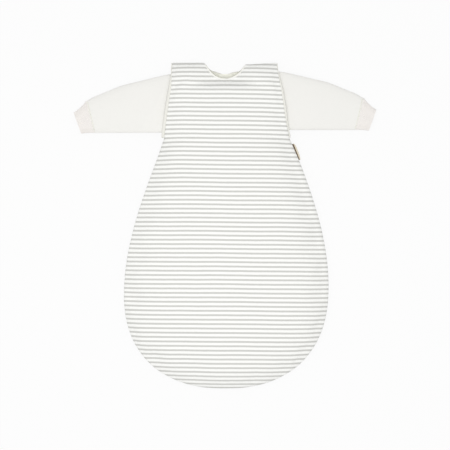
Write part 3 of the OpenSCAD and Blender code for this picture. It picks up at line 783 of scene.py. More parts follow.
class Shader:
    """A new material with one Principled shader, and the ways to add nodes to it."""

    def __init__(self, name: str) -> None:
        """Start a material.

        Args:
            name: Name of the material.
        """
        self.material = bpy.data.materials.new(name)
        self.material.use_nodes = True
        self.nodes = self.material.node_tree.nodes
        self.links = self.material.node_tree.links
        self.nodes.clear()
        self.surface = self.nodes.new("ShaderNodeBsdfPrincipled")
        self.output = self.nodes.new("ShaderNodeOutputMaterial")
        self.links.new(self.surface.outputs[0], self.output.inputs["Surface"])

    def make(self, kind: str, settings: dict[str, object] | None = None,
             inputs: dict[str | int, object] | None = None, output: str | int = 0) -> Sock:
        """Add a node.

        Args:
            kind: Blender's type of the node.
            settings: Properties, set before the inputs.
            inputs: Values or links of its sockets.
            output: Name or number of the output that is returned.

        Returns:
            That output.
        """
        node = self.nodes.new(kind)
        for key, value in (settings or {}).items():
            setattr(node, key, value)
        for key, value in (inputs or {}).items():
            self.feed(node.inputs[key], value)
        return Sock(self, node.outputs[output])

    def feed(self, socket: bpy.types.NodeSocket, value: object) -> None:
        """Link a value to a socket, or set the socket's own value.

        Args:
            socket: The input.
            value: A socket's value or a constant.
        """
        if isinstance(value, Sock):
            self.links.new(value.out, socket)
        else:
            socket.default_value = value

    def set(self, **values: object) -> Shader:
        """Feed inputs of the Principled shader.

        Args:
            values: Values by the input's name, with _ for each space.

        Returns:
            The shader itself.
        """
        for key, value in values.items():
            self.feed(self.surface.inputs[key.replace("_", " ")], value)
        return self

    def blend(self, share: Value, a: object, b: object) -> Sock:
        """Mix two colours."""
        return self.make("ShaderNodeMix", {"data_type": "RGBA"},
                         {"Factor": share, 6: a, 7: b}, 2)

    def cloth(self) -> tuple[Sock, Sock, Sock]:
        """Read the cloth's own coordinates.

        Returns:
            Both together, then across and along, in millimetres.
        """
        uv = self.make("ShaderNodeUVMap", {"uv_map": "cloth"})
        place = self.make("ShaderNodeVectorMath", {"operation": "SCALE"}, {0: uv, "Scale": UV_UNIT})
        split = {axis: self.make("ShaderNodeSeparateXYZ", None, {0: place}, axis) for axis in "XY"}
        return place, split["X"], split["Y"]

    def solid(self) -> Sock:
        """The place in the object, in millimetres."""
        at = self.make("ShaderNodeTexCoord", None, None, "Object")
        return self.make("ShaderNodeVectorMath", {"operation": "SCALE"}, {0: at, "Scale": 1 / MM})

    def noise(self, place: Sock, grain: float, detail: float = 2.0) -> Sock:
        """Soft noise around 0.5 whose spots are about `grain` millimetres across."""
        return self.make("ShaderNodeTexNoise", None,
                         {"Vector": place, "Scale": 1.0 / grain, "Detail": detail})

    def relief(self, height: Value, depth: float, strength: float = 1.0) -> Sock:
        """A normal from a height of 0..1 that stands for `depth` millimetres."""
        return self.make("ShaderNodeBump", None,
                         {"Strength": strength, "Distance": depth * MM, "Height": height})


class Knit(Enum):
    """How the loops of a knitted cloth show."""

    JERSEY = "jersey"
    RIB = "rib"
    BINDING = "binding"


@dataclass(frozen=True)
class KnitFinish:
    """Knitted cotton: columns of small v-shaped loops, uneven yarn, and stripes if it has any."""

    name: str
    colour: tuple[float, float, float]
    knit: Knit = Knit.JERSEY
    stripe: tuple[float, float, float] | None = None
    pitch: float = 8.585
    share: float = 0.43
    start: float = 0.0
    blur: float = 0.45
    wale: float = 1.3
    depth: float = 0.16

    def build(self) -> bpy.types.Material:
        """Make the material: each loop is a v, and stripes are printed with a soft, uneven edge.

        Returns:
            The material.
        """
        sh = Shader(self.name)
        place, across, along = sh.cloth()
        if self.knit is Knit.BINDING:
            across, along = along, across
        column = (across / self.wale).fraction() - 0.5
        slant = along / (self.wale * 0.8) + column.size() * 1.1
        loops = (column.size() * pi).sine() * -0.5 + ((slant * (2 * pi)).sine() * 0.25 + 0.75)
        height = loops
        if self.knit is Knit.RIB:
            ridge = ((across / (self.wale * 2.6)).fraction() - 0.5).size()
            height = loops * 0.5 + (ridge * pi).sine() * 1.4
        yarn = sh.noise(place, 0.55, 3.0)
        slub = sh.noise(place, 9.0, 3.0)
        tone = (yarn - 0.5) * 0.10 + (slub - 0.5) * 0.07
        base = sh.blend(0.0, linear(self.colour), linear(self.colour))
        if self.stripe is not None:
            slow, quick = sh.noise(place, 46.0, 1.0), sh.noise(place, 7.0, 1.0)
            wander = (slow - 0.5) * 0.7 + (quick - 0.5) * 0.3
            row = (along + wander - self.start) / self.pitch
            off = ((row.fraction() - 0.5) * self.pitch).size()
            half = self.share * self.pitch / 2
            printed = off.eased(half + self.blur, half - self.blur)
            worn = printed * (1.0 - (slub - 0.5).size() * 0.25)
            base = sh.blend(worn, linear(self.colour), linear(self.stripe))
        # Painted shade: the colour is darkened between the knit's loops, where loops is low, and
        # also varied by the yarn's random tone.
        dark = sh.make("ShaderNodeVectorMath", {"operation": "SCALE"}, {0: base, "Scale": 0.86})
        shade = (0.30 - tone - loops * 0.16).eased(0.0, 1.0)
        colour = sh.blend(shade, base, dark)
        sh.set(Base_Color=colour, Roughness=(yarn * 0.12 + 0.84), Specular_IOR_Level=0.22,
               Sheen_Weight=0.12, Sheen_Roughness=0.6,
               Normal=sh.relief(height + yarn * 0.35, self.depth, 0.8))
        return sh.material


@dataclass(frozen=True)
class WadFinish:
    """Loose polyester fill: tangled bright fibres."""

    name: str
    colour: tuple[float, float, float]

    def build(self) -> bpy.types.Material:
        """Make the material.

        Returns:
            The material.
        """
        sh = Shader(self.name)
        place, _, _ = sh.cloth()
        fibres = sh.make("ShaderNodeTexWave", {"wave_type": "BANDS", "bands_direction": "DIAGONAL"},
                         {"Vector": place, "Scale": 0.22, "Distortion": 14.0, "Detail": 4.0}, 1)
        tufts = sh.noise(place, 14.0, 4.0)
        colour = sh.blend(tufts, linear(self.colour), linear(tuple(c * 0.93 for c in self.colour)))
        sh.set(Base_Color=colour, Roughness=0.95, Specular_IOR_Level=0.15, Sheen_Weight=0.3,
               Normal=sh.relief(fibres * 0.5 + tufts, 0.9))
        return sh.material


@dataclass(frozen=True)
class WovenFinish:
    """Woven ribbon or tape: slanting ribs that change direction at its middle, and borders."""

    name: str
    colour: tuple[float, float, float]
    border: tuple[float, float, float] | None = None
    border_at: float = 0.0
    rib: float = 0.7
    depth: float = 0.12

    def build(self) -> bpy.types.Material:
        """Make the material; the border is where the cloth's first coordinate passes border_at.

        Returns:
            The material.
        """
        sh = Shader(self.name)
        place, across, along = sh.cloth()
        ribs = (((along + across.size()) / self.rib) * (2 * pi)).sine() * 0.5 + 0.5
        threads = ((along / 0.45) * (2 * pi)).sine() * 0.25
        lint = sh.noise(place, 0.8, 3.0)
        # Painted shade: the colour is darkened in the valleys between the ribs, on the tape and on
        # its border, and also varied by random lint.
        dark = linear(tuple(c * 0.86 for c in self.colour))
        colour = sh.blend((1.0 - ribs) * 0.55 + (lint - 0.5) * 0.5, linear(self.colour), dark)
        if self.border is not None:
            edge = across.eased(self.border_at - 0.25, self.border_at + 0.25)
            light = sh.blend((1.0 - ribs) * 0.4, linear(self.border),
                             linear(tuple(c * 0.88 for c in self.border)))
            colour = sh.blend(edge, colour, light)
        sh.set(Base_Color=colour, Roughness=lint * 0.2 + 0.62, Specular_IOR_Level=0.35,
               Sheen_Weight=0.1, Normal=sh.relief(ribs + threads + lint * 0.3, self.depth))
        return sh.material


@dataclass(frozen=True)
class HardFinish:
    """Moulded plastic or enamelled metal, a little uneven and dulled by handling."""

    name: str
    colour: tuple[float, float, float]
    rough: float = 0.42
    metal: float = 0.0
    coat: float = 0.0
    grain: float = 1.6

    def build(self) -> bpy.types.Material:
        """Make the material.

        Returns:
            The material.
        """
        sh = Shader(self.name)
        place = sh.solid()
        haze = sh.noise(place, self.grain * 3.0, 3.0)
        fine = sh.noise(place, self.grain * 0.25, 2.0)
        dark = linear(tuple(c * 0.93 for c in self.colour))
        colour = sh.blend(haze * 0.35, linear(self.colour), dark)
        sh.set(Base_Color=colour, Roughness=haze * 0.18 + fine * 0.08 + (self.rough - 0.13),
               Metallic=self.metal, Coat_Weight=self.coat, Coat_Roughness=0.2,
               Normal=sh.relief(fine * 0.6 + haze, 0.05))
        return sh.material


@dataclass(frozen=True)
class ThreadFinish:
    """Sewing thread: two plies twisted round each other."""

    name: str
    colour: tuple[float, float, float]

    def build(self) -> bpy.types.Material:
        """Make the material.

        Returns:
            The material.
        """
        sh = Shader(self.name)
        place, along, around = sh.cloth()
        twist = ((along * 1.6 + around * 2.2) * pi).sine() * 0.5 + 0.5
        # Painted shade: the colour is darkened where the twist is low, in the groove between the
        # two plies.
        dark = linear(tuple(c * 0.8 for c in self.colour))
        sh.set(Base_Color=sh.blend(1.0 - twist, linear(self.colour), dark),
               Roughness=sh.noise(place, 0.5) * 0.2 + 0.5, Sheen_Weight=0.15,
               Normal=sh.relief(twist, 0.08))
        return sh.material


class Finishes:
    """Every material of the bag, made once."""

    def __init__(self) -> None:
        """Build the materials."""
        self.striped = KnitFinish("striped_jersey", (255, 255, 252), stripe=(209, 209, 205),
                                  start=3.42).build()
        self.wadding = WadFinish("polyester_wadding", (250, 250, 248)).build()
        self.lining = KnitFinish("cream_lining_jersey", (255, 255, 243), wale=1.2).build()
        self.binding = KnitFinish("bias_binding", (238, 237, 230), Knit.BINDING, wale=1.0).build()
        self.neck = KnitFinish("neck_binding", (252, 251, 245), Knit.BINDING, wale=1.0).build()
        self.inner = KnitFinish("plain_jersey", (244, 243, 239), wale=1.1, depth=0.12).build()
        self.trim = KnitFinish("doubled_jersey", (244, 243, 238), wale=1.1, depth=0.12).build()
        self.rib = KnitFinish("cuff_rib", (244, 240, 236), Knit.RIB, wale=1.0, depth=0.2).build()
        self.tape = WovenFinish("zip_tape_twill", (236, 235, 228)).build()
        self.plastic = HardFinish("zip_tooth_plastic", (240, 240, 235), 0.38).build()
        self.stud = HardFinish("press_stud_plastic", (242, 241, 236), 0.32).build()
        self.enamel = HardFinish("slider_enamel", (226, 225, 219), 0.35, 0.0, 0.4, 0.9).build()
        self.ribbon = WovenFinish("tag_ribbon", (112, 92, 72), (236, 226, 204), 2.9, 0.6).build()
        self.thread = ThreadFinish("sewing_thread", (240, 239, 232)).build()
        self.seam_thread = ThreadFinish("cream_thread", (252, 251, 226)).build()


# ---- Cloth ----
def normals(grid: Array) -> Array:
    """Unit normals of a (rows, cols, 3) grid whose rows run to +Y and columns to +X."""
    return unit(np.cross(np.gradient(grid, axis=1), np.gradient(grid, axis=0)))


def finer(values: Array, rows: int, cols: int) -> Array:
    """Resample a grid of values, straight between its points.

    Args:
        values: (r, c, k) values.
        rows, cols: Size of the new grid.

    Returns:
        (rows, cols, k) values.
    """
    r = np.linspace(0.0, values.shape[0] - 1.0, rows)
    c = np.linspace(0.0, values.shape[1] - 1.0, cols)
    i = np.minimum(r.astype(int), values.shape[0] - 2)
    j = np.minimum(c.astype(int), values.shape[1] - 2)
    across = mix(values[:, j], values[:, j + 1], (c - j)[None, :, None])
    return mix(across[i], across[i + 1], (r - i)[:, None, None])


@dataclass(frozen=True)
class Inflation:
    """Cloth simulation of a panel that is sewn down all round and pushed out by its fill."""

    pressure: float = 4.0
    spare: float = 0.02
    stiffness: float = 12.0
    bending: float = 1.2
    frames: int = 20
    cap: float = 4.5

    def run(self, grid: Array, every: int = 2) -> Array:
        """Inflate a panel.

        Args:
            grid: (rows, cols, 3) outside of the panel, in millimetres; its edges stay in place.
            every: Simulate only every so many rows and columns.

        Returns:
            How far each point moves, at most about `cap`: d * tanh(|d| / cap) * cap / |d|.
        """
        coarse = grid[::every, ::every]
        rows, cols = coarse.shape[:2]
        mesh = bpy.data.meshes.new("panel_in_simulation")
        mesh.from_pydata((coarse.reshape(-1, 3) * MM).tolist(), [], grid_quads(rows, cols).tolist())
        panel = bpy.data.objects.new("panel_in_simulation", mesh)
        scene = bpy.context.scene
        scene.collection.objects.link(panel)
        number = np.arange(rows * cols).reshape(rows, cols)
        sewn = np.unique(np.concatenate([number[0], number[-1], number[:, 0], number[:, -1]]))
        group = panel.vertex_groups.new(name="sewn")
        group.add(sewn.tolist(), 1.0, "REPLACE")
        cloth = panel.modifiers.new("cloth", "CLOTH")
        s = cloth.settings
        s.vertex_group_mass = "sewn"
        s.quality, s.mass = 6, 0.2
        s.tension_stiffness = s.compression_stiffness = self.stiffness
        s.shear_stiffness, s.bending_stiffness = self.stiffness / 2.0, self.bending
        s.use_pressure, s.uniform_pressure_force = True, self.pressure
        s.shrink_min = -self.spare
        s.effector_weights.gravity = 0.0
        cloth.collision_settings.use_collision = False
        cloth.collision_settings.use_self_collision = False
        cloth.point_cache.frame_start, cloth.point_cache.frame_end = 1, self.frames
        for frame_number in range(1, self.frames + 1):
            scene.frame_set(frame_number)
        solved = panel.evaluated_get(bpy.context.evaluated_depsgraph_get()).data
        after = np.zeros(rows * cols * 3, dtype=np.float32)
        solved.vertices.foreach_get("co", after)
        scene.frame_set(1)
        bpy.data.objects.remove(panel)
        move = after.reshape(rows, cols, 3) / MM - coarse
        far = np.linalg.norm(move, axis=-1, keepdims=True)
        LOG.info("simulated panel moved %.1f mm at most", float(far.max()))
        capped = move * np.tanh(far / self.cap) * self.cap / np.maximum(far, 1e-6)
        return finer(capped, grid.shape[0], grid.shape[1])


def declare_sheet(piece: bpy.types.Object, flat: tuple[float, float]) -> None:
    """Work out a sheet's area as cut, CUT_SHARE of half its surface and at most its box; nothing
    uses it.

    Args:
        piece: The sheet.
        flat: Width and length of the box that its cut fits in, in millimetres.
    """
    mesh = piece.data
    area = np.zeros(len(mesh.polygons), dtype=np.float32)
    mesh.polygons.foreach_get("area", area)
    width, length = flat[0] * MM, flat[1] * MM
    cut = min(CUT_SHARE * float(area.sum()) / 2.0, width * length)


# ---- Outer bag ----
@dataclass
class OuterBag:
    """The padded bag: a front and two back halves, each of shell, wadding and lining."""

    form: BagForm
    finishes: Finishes
    soft: Softness
    neck_cols: int = 26
    side_cols: int = 46
    rows: tuple[int, int, int] = (46, 62, 60)
    stripe_fall: float = 0.0096
    eye: float = 2450.0
    stripe_bend: float = -82.0
    push_share: tuple[float, float, float] = (0.35, 0.35, 0.8)
    push_run: float = 14.0
    deepest: float = -0.7
    zip_rise: float = 4.1
    lining_rise: float = 0.7
    bank_w: float = 8.0
    stitch_rows: tuple[float, float] = (2.2, 8.0)
    arm_band: dict[Side, float] = field(default_factory=lambda: {Side.LEFT: 2.2, Side.RIGHT: 3.0})
    arm_band_tip: float = 0.9
    arm_band_low: float = 1.3
    arm_band_t: float = 3.1
    arm_band_floor: float = 2.85

    def build(self) -> None:
        """Make every piece of the bag."""
        self.front()
        for side in Side:
            self.back_half(side)
            self.armhole_binding(side)
        self.front_neck_binding()
        self.seam_stitching()

    def half_shares(self) -> Array:
        """Shares of the half-width of a half's columns.

        Returns:
            0..1, closer together at the neck's corner and at the seam.
        """
        corner = self.form.neck_w / self.form.shoulder_w
        neck = corner * np.sin(np.linspace(0.0, pi / 2, self.neck_cols + 1))
        side = mix(corner, 1.0, np.sin(np.linspace(0.0, pi / 2, self.side_cols + 1)))
        return join(neck, side)

    def stripe_uv(self, points: Array, turn: Side | None = None) -> Array:
        """Cloth coordinates that the stripes run on.

        The second coordinate is y measured along the curve of the foot end. A front's stripes
        slant and wander a little as it lies, and stay level where the neck sinks.

        Args:
            points: Grid of points.
            turn: For a back half, the side it is on.

        Returns:
            (..., 2) places on the cloth, in millimetres.
        """
        f = self.form
        s = np.linspace(0.0, f.length, 1200)
        rise = f.front_z(np.zeros_like(s), s, Layer.outer(0.0))
        arc = run_along(np.stack([s, np.where(s < f.belly_up, rise, f.belly_t)], axis=-1))
        arc += f.length - arc[-1] - f.length / 2
        x, y, z = (points[..., k] for k in range(3))
        v = np.interp(y + f.length / 2, s, arc)
        sunk = f.neck_sink * f.neck_dip(x, y + f.length / 2)
        v = v - y * (z - f.seam_up) * sunk / (1 - sunk) / self.eye
        if turn is None:
            v = v + self.stripe_fall * np.maximum(0.0, x - self.stripe_bend)
            v = v + 0.3 * np.sin(x / 61.0 + 1.0) * np.sin(y / 95.0)
            v = v + 0.15 * np.sin(x / 23.0 + y / 70.0)
        return np.stack([x, v], axis=-1)

    def front_points(self, depth: float, push: Array | None = None) -> Array:
        """Grid of the front.

        Args:
            depth: Depth of the layer under the outside.
            push: How far to move each point, or None.

        Returns:
            (rows, cols, 3) places.
        """
        f, lay = self.form, Layer.outer(depth)
        half = self.half_shares()
        shares = np.concatenate([-half[:0:-1], half])
        heights = f.heights(lay, *self.rows)
        shares = np.broadcast_to(shares, (len(heights), len(shares)))
        x, s = f.grid(shares, heights, lay, f.front_drop)
        grid = f.place(x, s, f.front_z(x, s, lay))
        return grid if push is None else grid + push

    def front(self) -> None:
        """Make the front's shell, wadding and lining; the fill pushes the first two out."""
        f, fin = self.form, self.finishes
        outside = self.front_points(0.0)
        lay = Layer.outer(0.0)
        s = outside[..., 1] + f.length / 2
        uneven = self.soft.height(outside[..., 0], s, lay, f.front_drop)
        off = self.soft.seam_distance(outside[..., 0], s, lay, f.front_drop)
        sewn = smooth(off / self.push_run)
        blown = Inflation().run(outside) * np.array(self.push_share) * sewn[..., None]
        push = blown + normals(outside) * np.maximum(uneven, self.deepest)[..., None]
        shell = slab("outer_front", self.front_points(0.0, push), self.front_points(SHELL_IN, push),
                     fin.striped, self.stripe_uv(outside))
        wadding = slab("front_fill", self.front_points(WADDING_OUT, push),
                       self.front_points(WADDING_IN), fin.wadding)
        lining = slab("front_inside_lining", self.front_points(LINING_OUT),
                      self.front_points(LINING_IN), fin.lining)
        for piece, node, slot in ((shell, "front_shell", "outer_jersey"),
                                  (wadding, "front_wadding", "wadding"),
                                  (lining, "front_lining", "lining")):
            settle(piece, "bag", slot, node)
        declare_sheet(shell, (f.width + 90.0, f.length + 40.0))
        declare_sheet(lining, (f.width + 80.0, f.length + 40.0))

    def back_points(self, depth: float, first: float, rise: float, side: Side) -> Array:
        """Grid of a back half.

        Args:
            depth: Depth of the layer.
            first: x of its edge beside the zip.
            rise: How far it rises there to the zip's tape.
            side: Which half.

        Returns:
            (rows, cols, 3) places.
        """
        f, lay = self.form, Layer.outer(depth)
        low_end = np.linspace(f.zip_bottom - 54, f.zip_bottom, 40)
        heights = np.unique(np.concatenate([f.heights(lay, *self.rows), low_end]))
        s = heights[:, None]
        w = f.half_width(s, lay)
        edge = mix(0.15, first, f.slit(s))
        near = mix(edge, np.maximum(edge + 0.5, f.wadding_edge), np.linspace(0.0, 1.0, 7))
        bank = f.wadding_edge + np.linspace(0.0, self.bank_w, 7)[1:]
        last = bank[-1]
        corner = (f.neck_w / 2 - last) / (f.shoulder_w / 2 - last)
        rest = join(np.linspace(0.0, corner, 9),
                    mix(corner, 1.0, np.sin(np.linspace(0.0, pi / 2, self.side_cols + 1))))[1:]
        x = np.concatenate([near, np.broadcast_to(bank, (len(heights), len(bank))),
                            mix(last, w, rest)], axis=1)
        x, up = f.grid(x / w, heights, lay, f.back_drop)
        lift = rise * f.groove(x, up, f.wadding_edge, f.wadding_edge + self.bank_w)
        return f.place(x * side.value, up, f.back_z(x, up, lay) + lift)

    def back_half(self, side: Side) -> None:
        """Make a back half's shell, wadding and lining, and its share of the neck's binding.

        Args:
            side: Which half.
        """
        f, fin, word = self.form, self.finishes, side.word
        edge, high, low = f.zip_gap / 2, self.zip_rise, self.lining_rise
        out = self.back_points(0.0, edge, high, side)
        shell = slab(f"{word}_outer_back", self.back_points(SHELL_IN, edge, high, side), out,
                     fin.striped, self.stripe_uv(out, side))
        wadding = slab(f"{word}_back_fill", self.back_points(WADDING_IN, f.wadding_edge, low, side),
                       self.back_points(WADDING_OUT, f.wadding_edge, high, side), fin.wadding)
        inside = self.back_points(LINING_IN, edge, low, side)
        lining = slab(f"{word}_back_inside_lining", inside,
                      self.back_points(LINING_OUT, edge, low, side), fin.lining)
        for piece, node, slot in ((shell, f"{word}_back_shell", "outer_jersey"),
                                  (wadding, f"{word}_back_wadding", "wadding"),
                                  (lining, f"{word}_back_lining", "lining")):
            settle(piece, "bag", slot, node)
        declare_sheet(shell, (f.width / 2 + 50.0, f.length + 40.0))
        declare_sheet(lining, (f.width / 2 + 50.0, f.length + 40.0))
        path = (out[-1] + inside[-1]) / 2.0
        path = path[np.abs(path[:, 0]) < f.neck_w / 2 + 1.0]
        height = np.abs(inside[-1, :len(path), 2] - out[-1, :len(path), 2]) / 2.0
        across = edge_normals(path, np.array([0.0, 1.0, 0.0]))
        piece = band(f"{word}_back_neck_edge", path + across * 0.9, across, 1.15, height + 0.45,
                     fin.binding)
        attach(piece, "bag")
        if side is Side.LEFT:
            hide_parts("back_neck_binding")
        self.zip_stitching(side)

    def zip_stitching(self, side: Side) -> None:
        """Two rows of stitches beside the zip, on the outside of a back half.

        Args:
            side: Which half.
        """
        f = self.form
        s = np.linspace(f.zip_bottom - 8.0, f.length - f.back_drop - 4.0, 300)
        for number, off in enumerate(self.stitch_rows, start=1):
            x = np.full_like(s, f.zip_gap / 2 + off)
            rise = self.zip_rise * f.groove(x, s, f.wadding_edge, f.wadding_edge + self.bank_w)
            z = f.back_z(x, s, Layer.outer(0.0)) + rise
            path = f.place(x * side.value, s, z - 0.05)
            piece = stitches(f"{side.word}_zip_stitches_{number}", path, self.finishes.thread)
            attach(piece, "bag")

    def front_neck_binding(self) -> None:
        """The bound edge of the front's neckline."""
        f = self.form
        out, inside = self.front_points(0.0), self.front_points(LINING_IN)
        chosen = np.abs(out[-1, :, 0]) < f.neck_w / 2 + 1.5
        path = ((out[-1] + inside[-1]) / 2.0)[chosen]
        height = np.abs(out[-1, chosen, 2] - inside[-1, chosen, 2]) / 2.0
        across = edge_normals(path, np.array([0.0, 1.0, 0.0]))
        side = smooth((np.abs(path[:, 0]) - 12.0) / 14.0)
        wide = mix(0.85, 2.2, side)
        piece = band("front_neck_edge", path + across * mix(0.5, -1.3, side)[:, None], across, wide,
                     height + 0.5, self.finishes.neck)
        settle(piece, "bag", "outer_binding", "front_neck_binding")

    def armhole_binding(self, side: Side) -> None:
        """A folded band round the armhole, wider on the wearer's right, as it lies.

        Args:
            side: Which armhole.
        """
        f = self.form
        a = np.linspace(0.0, 2.0 * pi, 200, endpoint=False)
        lay = Layer.outer(0.0)
        s = (f.underarm_up + f.length) / 2 + np.cos(a) * ((f.length - f.underarm_up) / 2 - 1.2)
        far = np.full_like(s, 2.0 * f.width)
        z = np.where(a < pi, f.front_z(far, s, lay), f.back_z(far, s, lay))
        wide = mix(self.arm_band[side], self.arm_band_tip, smooth((s - 575.0) / 50.0))
        if side is Side.LEFT:
            wide = mix(self.arm_band_low, wide, smooth((s - 505.0) / 45.0))
        path = np.stack([f.armhole(s) + wide - 0.6, s - f.length / 2, z], axis=-1)
        centre = np.array([0.0, f.underarm_up / 2, f.seam_up])
        inward = unit(centre - path * np.array([0.0, 1.0, 1.0]))
        path = mirrored(path + inward * 2.6, side)
        path[:, 2] = np.maximum(path[:, 2], self.arm_band_floor)
        sway, rise = f.lie(path[:, 0], s)
        path = path + np.stack([sway, rise, np.zeros_like(s)], axis=-1)
        piece = band(f"{side.word}_armhole_edge", path, np.array([1.0, 0.0, 0.0]),
                     wide, self.arm_band_t, self.finishes.binding, closed=True, power=0.55)
        settle(piece, "bag", "outer_binding", f"{side.word}_armhole_binding")

    def seam_stitching(self) -> None:
        """A row of stitches beside the front's neckline."""
        f = self.form
        lay = Layer.outer(0.0)
        x = np.linspace(-f.neck_w / 2 + 1.0, f.neck_w / 2 - 1.0, 200)
        s = f.top_line(x, lay, f.front_drop) - 2.4
        path = f.place(x, s, f.front_z(x, s, lay) + 0.1)
        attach(stitches("neck_stitches", path, self.finishes.thread, thick=0.22), "bag")


def mirrored(grid: Array, side: Side) -> Array:
    """Put a shape made for the left side on the given side."""
    return grid * np.array([float(side.value), 1.0, 1.0])


def edge_normals(path: Array, out: Array) -> Array:
    """Directions in the xy plane at right angles to a path.

    Args:
        path: (n, 3) points.
        out: Which way they should point, roughly.

    Returns:
        (n, 3) unit vectors.
    """
    along = np.gradient(path, axis=0)
    across = unit(np.stack([-along[:, 1], along[:, 0], np.zeros(len(path))], axis=-1))
    return across * np.sign((across * out).sum(axis=1, keepdims=True) + 1e-9)


def settle(piece: bpy.types.Object, body: str, slot: str, *nodes: str) -> None:
    """Let a piece ride on a body and stand for CAD nodes.

    Args:
        piece: The piece.
        body: The body it moves with.
        slot: Its material slot; not used.
        nodes: CAD nodes that it stands for.
    """
    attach(piece, body)
    if nodes:
        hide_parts(*nodes)
    LOG.info("%s rides on %s", piece.name, body)


# ---- Zip ----
@dataclass
class Zip:
    """Centre-back zip: woven tapes under the back's edges, chain, slider, puller and guard."""

    form: BagForm
    finishes: Finishes
    nodes: dict[str, bpy.types.Object]
    tape_z: float = 5.6
    tape_t: float = 0.6
    tape_in: float = 3.5
    tape_w: float = 12.0
    cord_t: float = 0.12
    cord_at: float = 0.7
    cord_w: float = 0.6
    guard_z: float = 8.5
    guard_t: float = 0.6
    guard_low_x: float = -13.0
    guard_sewn_x: float = 27.0
    guard_fall: float = 1.4

    def build(self) -> None:
        """Make the tapes and the guard, and finish the moulded parts."""
        for side in Side:
            self.tape(side)
        self.guard()
        for name in ("left_zip_teeth", "right_zip_teeth", "zip_top_stops", "zip_bottom_stop"):
            dress(self.nodes[name], self.finishes.plastic)
        for name in ("zip_slider", "zip_puller"):
            dress(self.nodes[name], self.finishes.enamel)

    def tape(self, side: Side) -> None:
        """One tape, with a thicker corded edge beside the teeth.

        Args:
            side: Which tape.
        """
        f = self.form
        low, high = f.zip_bottom - 8.5, f.length - f.back_drop - 2.0
        s = np.linspace(low, high, 220)[:, None]
        x = (self.tape_in + self.tape_w * np.linspace(0.0, 1.0, 25))[None, :]
        cord = self.cord_t * np.exp(-(((x - self.tape_in - self.cord_at) / self.cord_w) ** 2))
        wave = 0.06 * np.sin(s / 9.0 + x / 4.0) + 0.04 * np.sin(s / 3.7)
        half = self.tape_t / 2 + cord
        x, s, wave, half = np.broadcast_arrays(x, s, wave, half)
        over, under = (np.stack([x, s - f.length / 2, self.tape_z + wave * 0.3 + up], axis=-1)
                       for up in (half, -half))
        uv = np.stack([x - self.tape_in - self.tape_w / 2, s], axis=-1)
        piece = slab(f"{side.word}_tape", mirrored(over, side), mirrored(under, side),
                     self.finishes.tape, uv)
        settle(piece, "bag", "zip_tape", f"{side.word}_zip_tape")

    def guard(self) -> None:
        """The soft flap over the inside of the zip, sewn down along the left side."""
        f = self.form
        x = join(np.linspace(self.guard_low_x, 13.0, 30), np.linspace(13.0, self.guard_sewn_x, 16))
        s = np.linspace(f.zip_bottom - 12.0, f.length - f.back_drop + 1.4, 240)
        x, s = np.broadcast_arrays(x[None, :], s[:, None])
        fall = self.guard_fall * smooth((x - 12.5) / 8.5)
        wave = 0.12 * np.sin(s / 17.0) * smooth((6.0 - x) / 16.0)
        z = self.guard_z - fall + wave
        under = np.stack([x, s - f.length / 2, z], axis=-1)
        over = under + np.array([0.0, 0.0, self.guard_t])
        piece = slab("zip_cover_flap", over, under, self.finishes.lining)
        settle(piece, "bag", "lining", "zip_guard")


def dress(node: bpy.types.Object, finish: bpy.types.Material) -> None:
    """Give a CAD node that stays its finish.

    Args:
        node: The node's object.
        finish: Its material.
    """
    node.data.materials.clear()
    node.data.materials.append(finish)
    LOG.info("%s keeps its CAD shape", node.name)


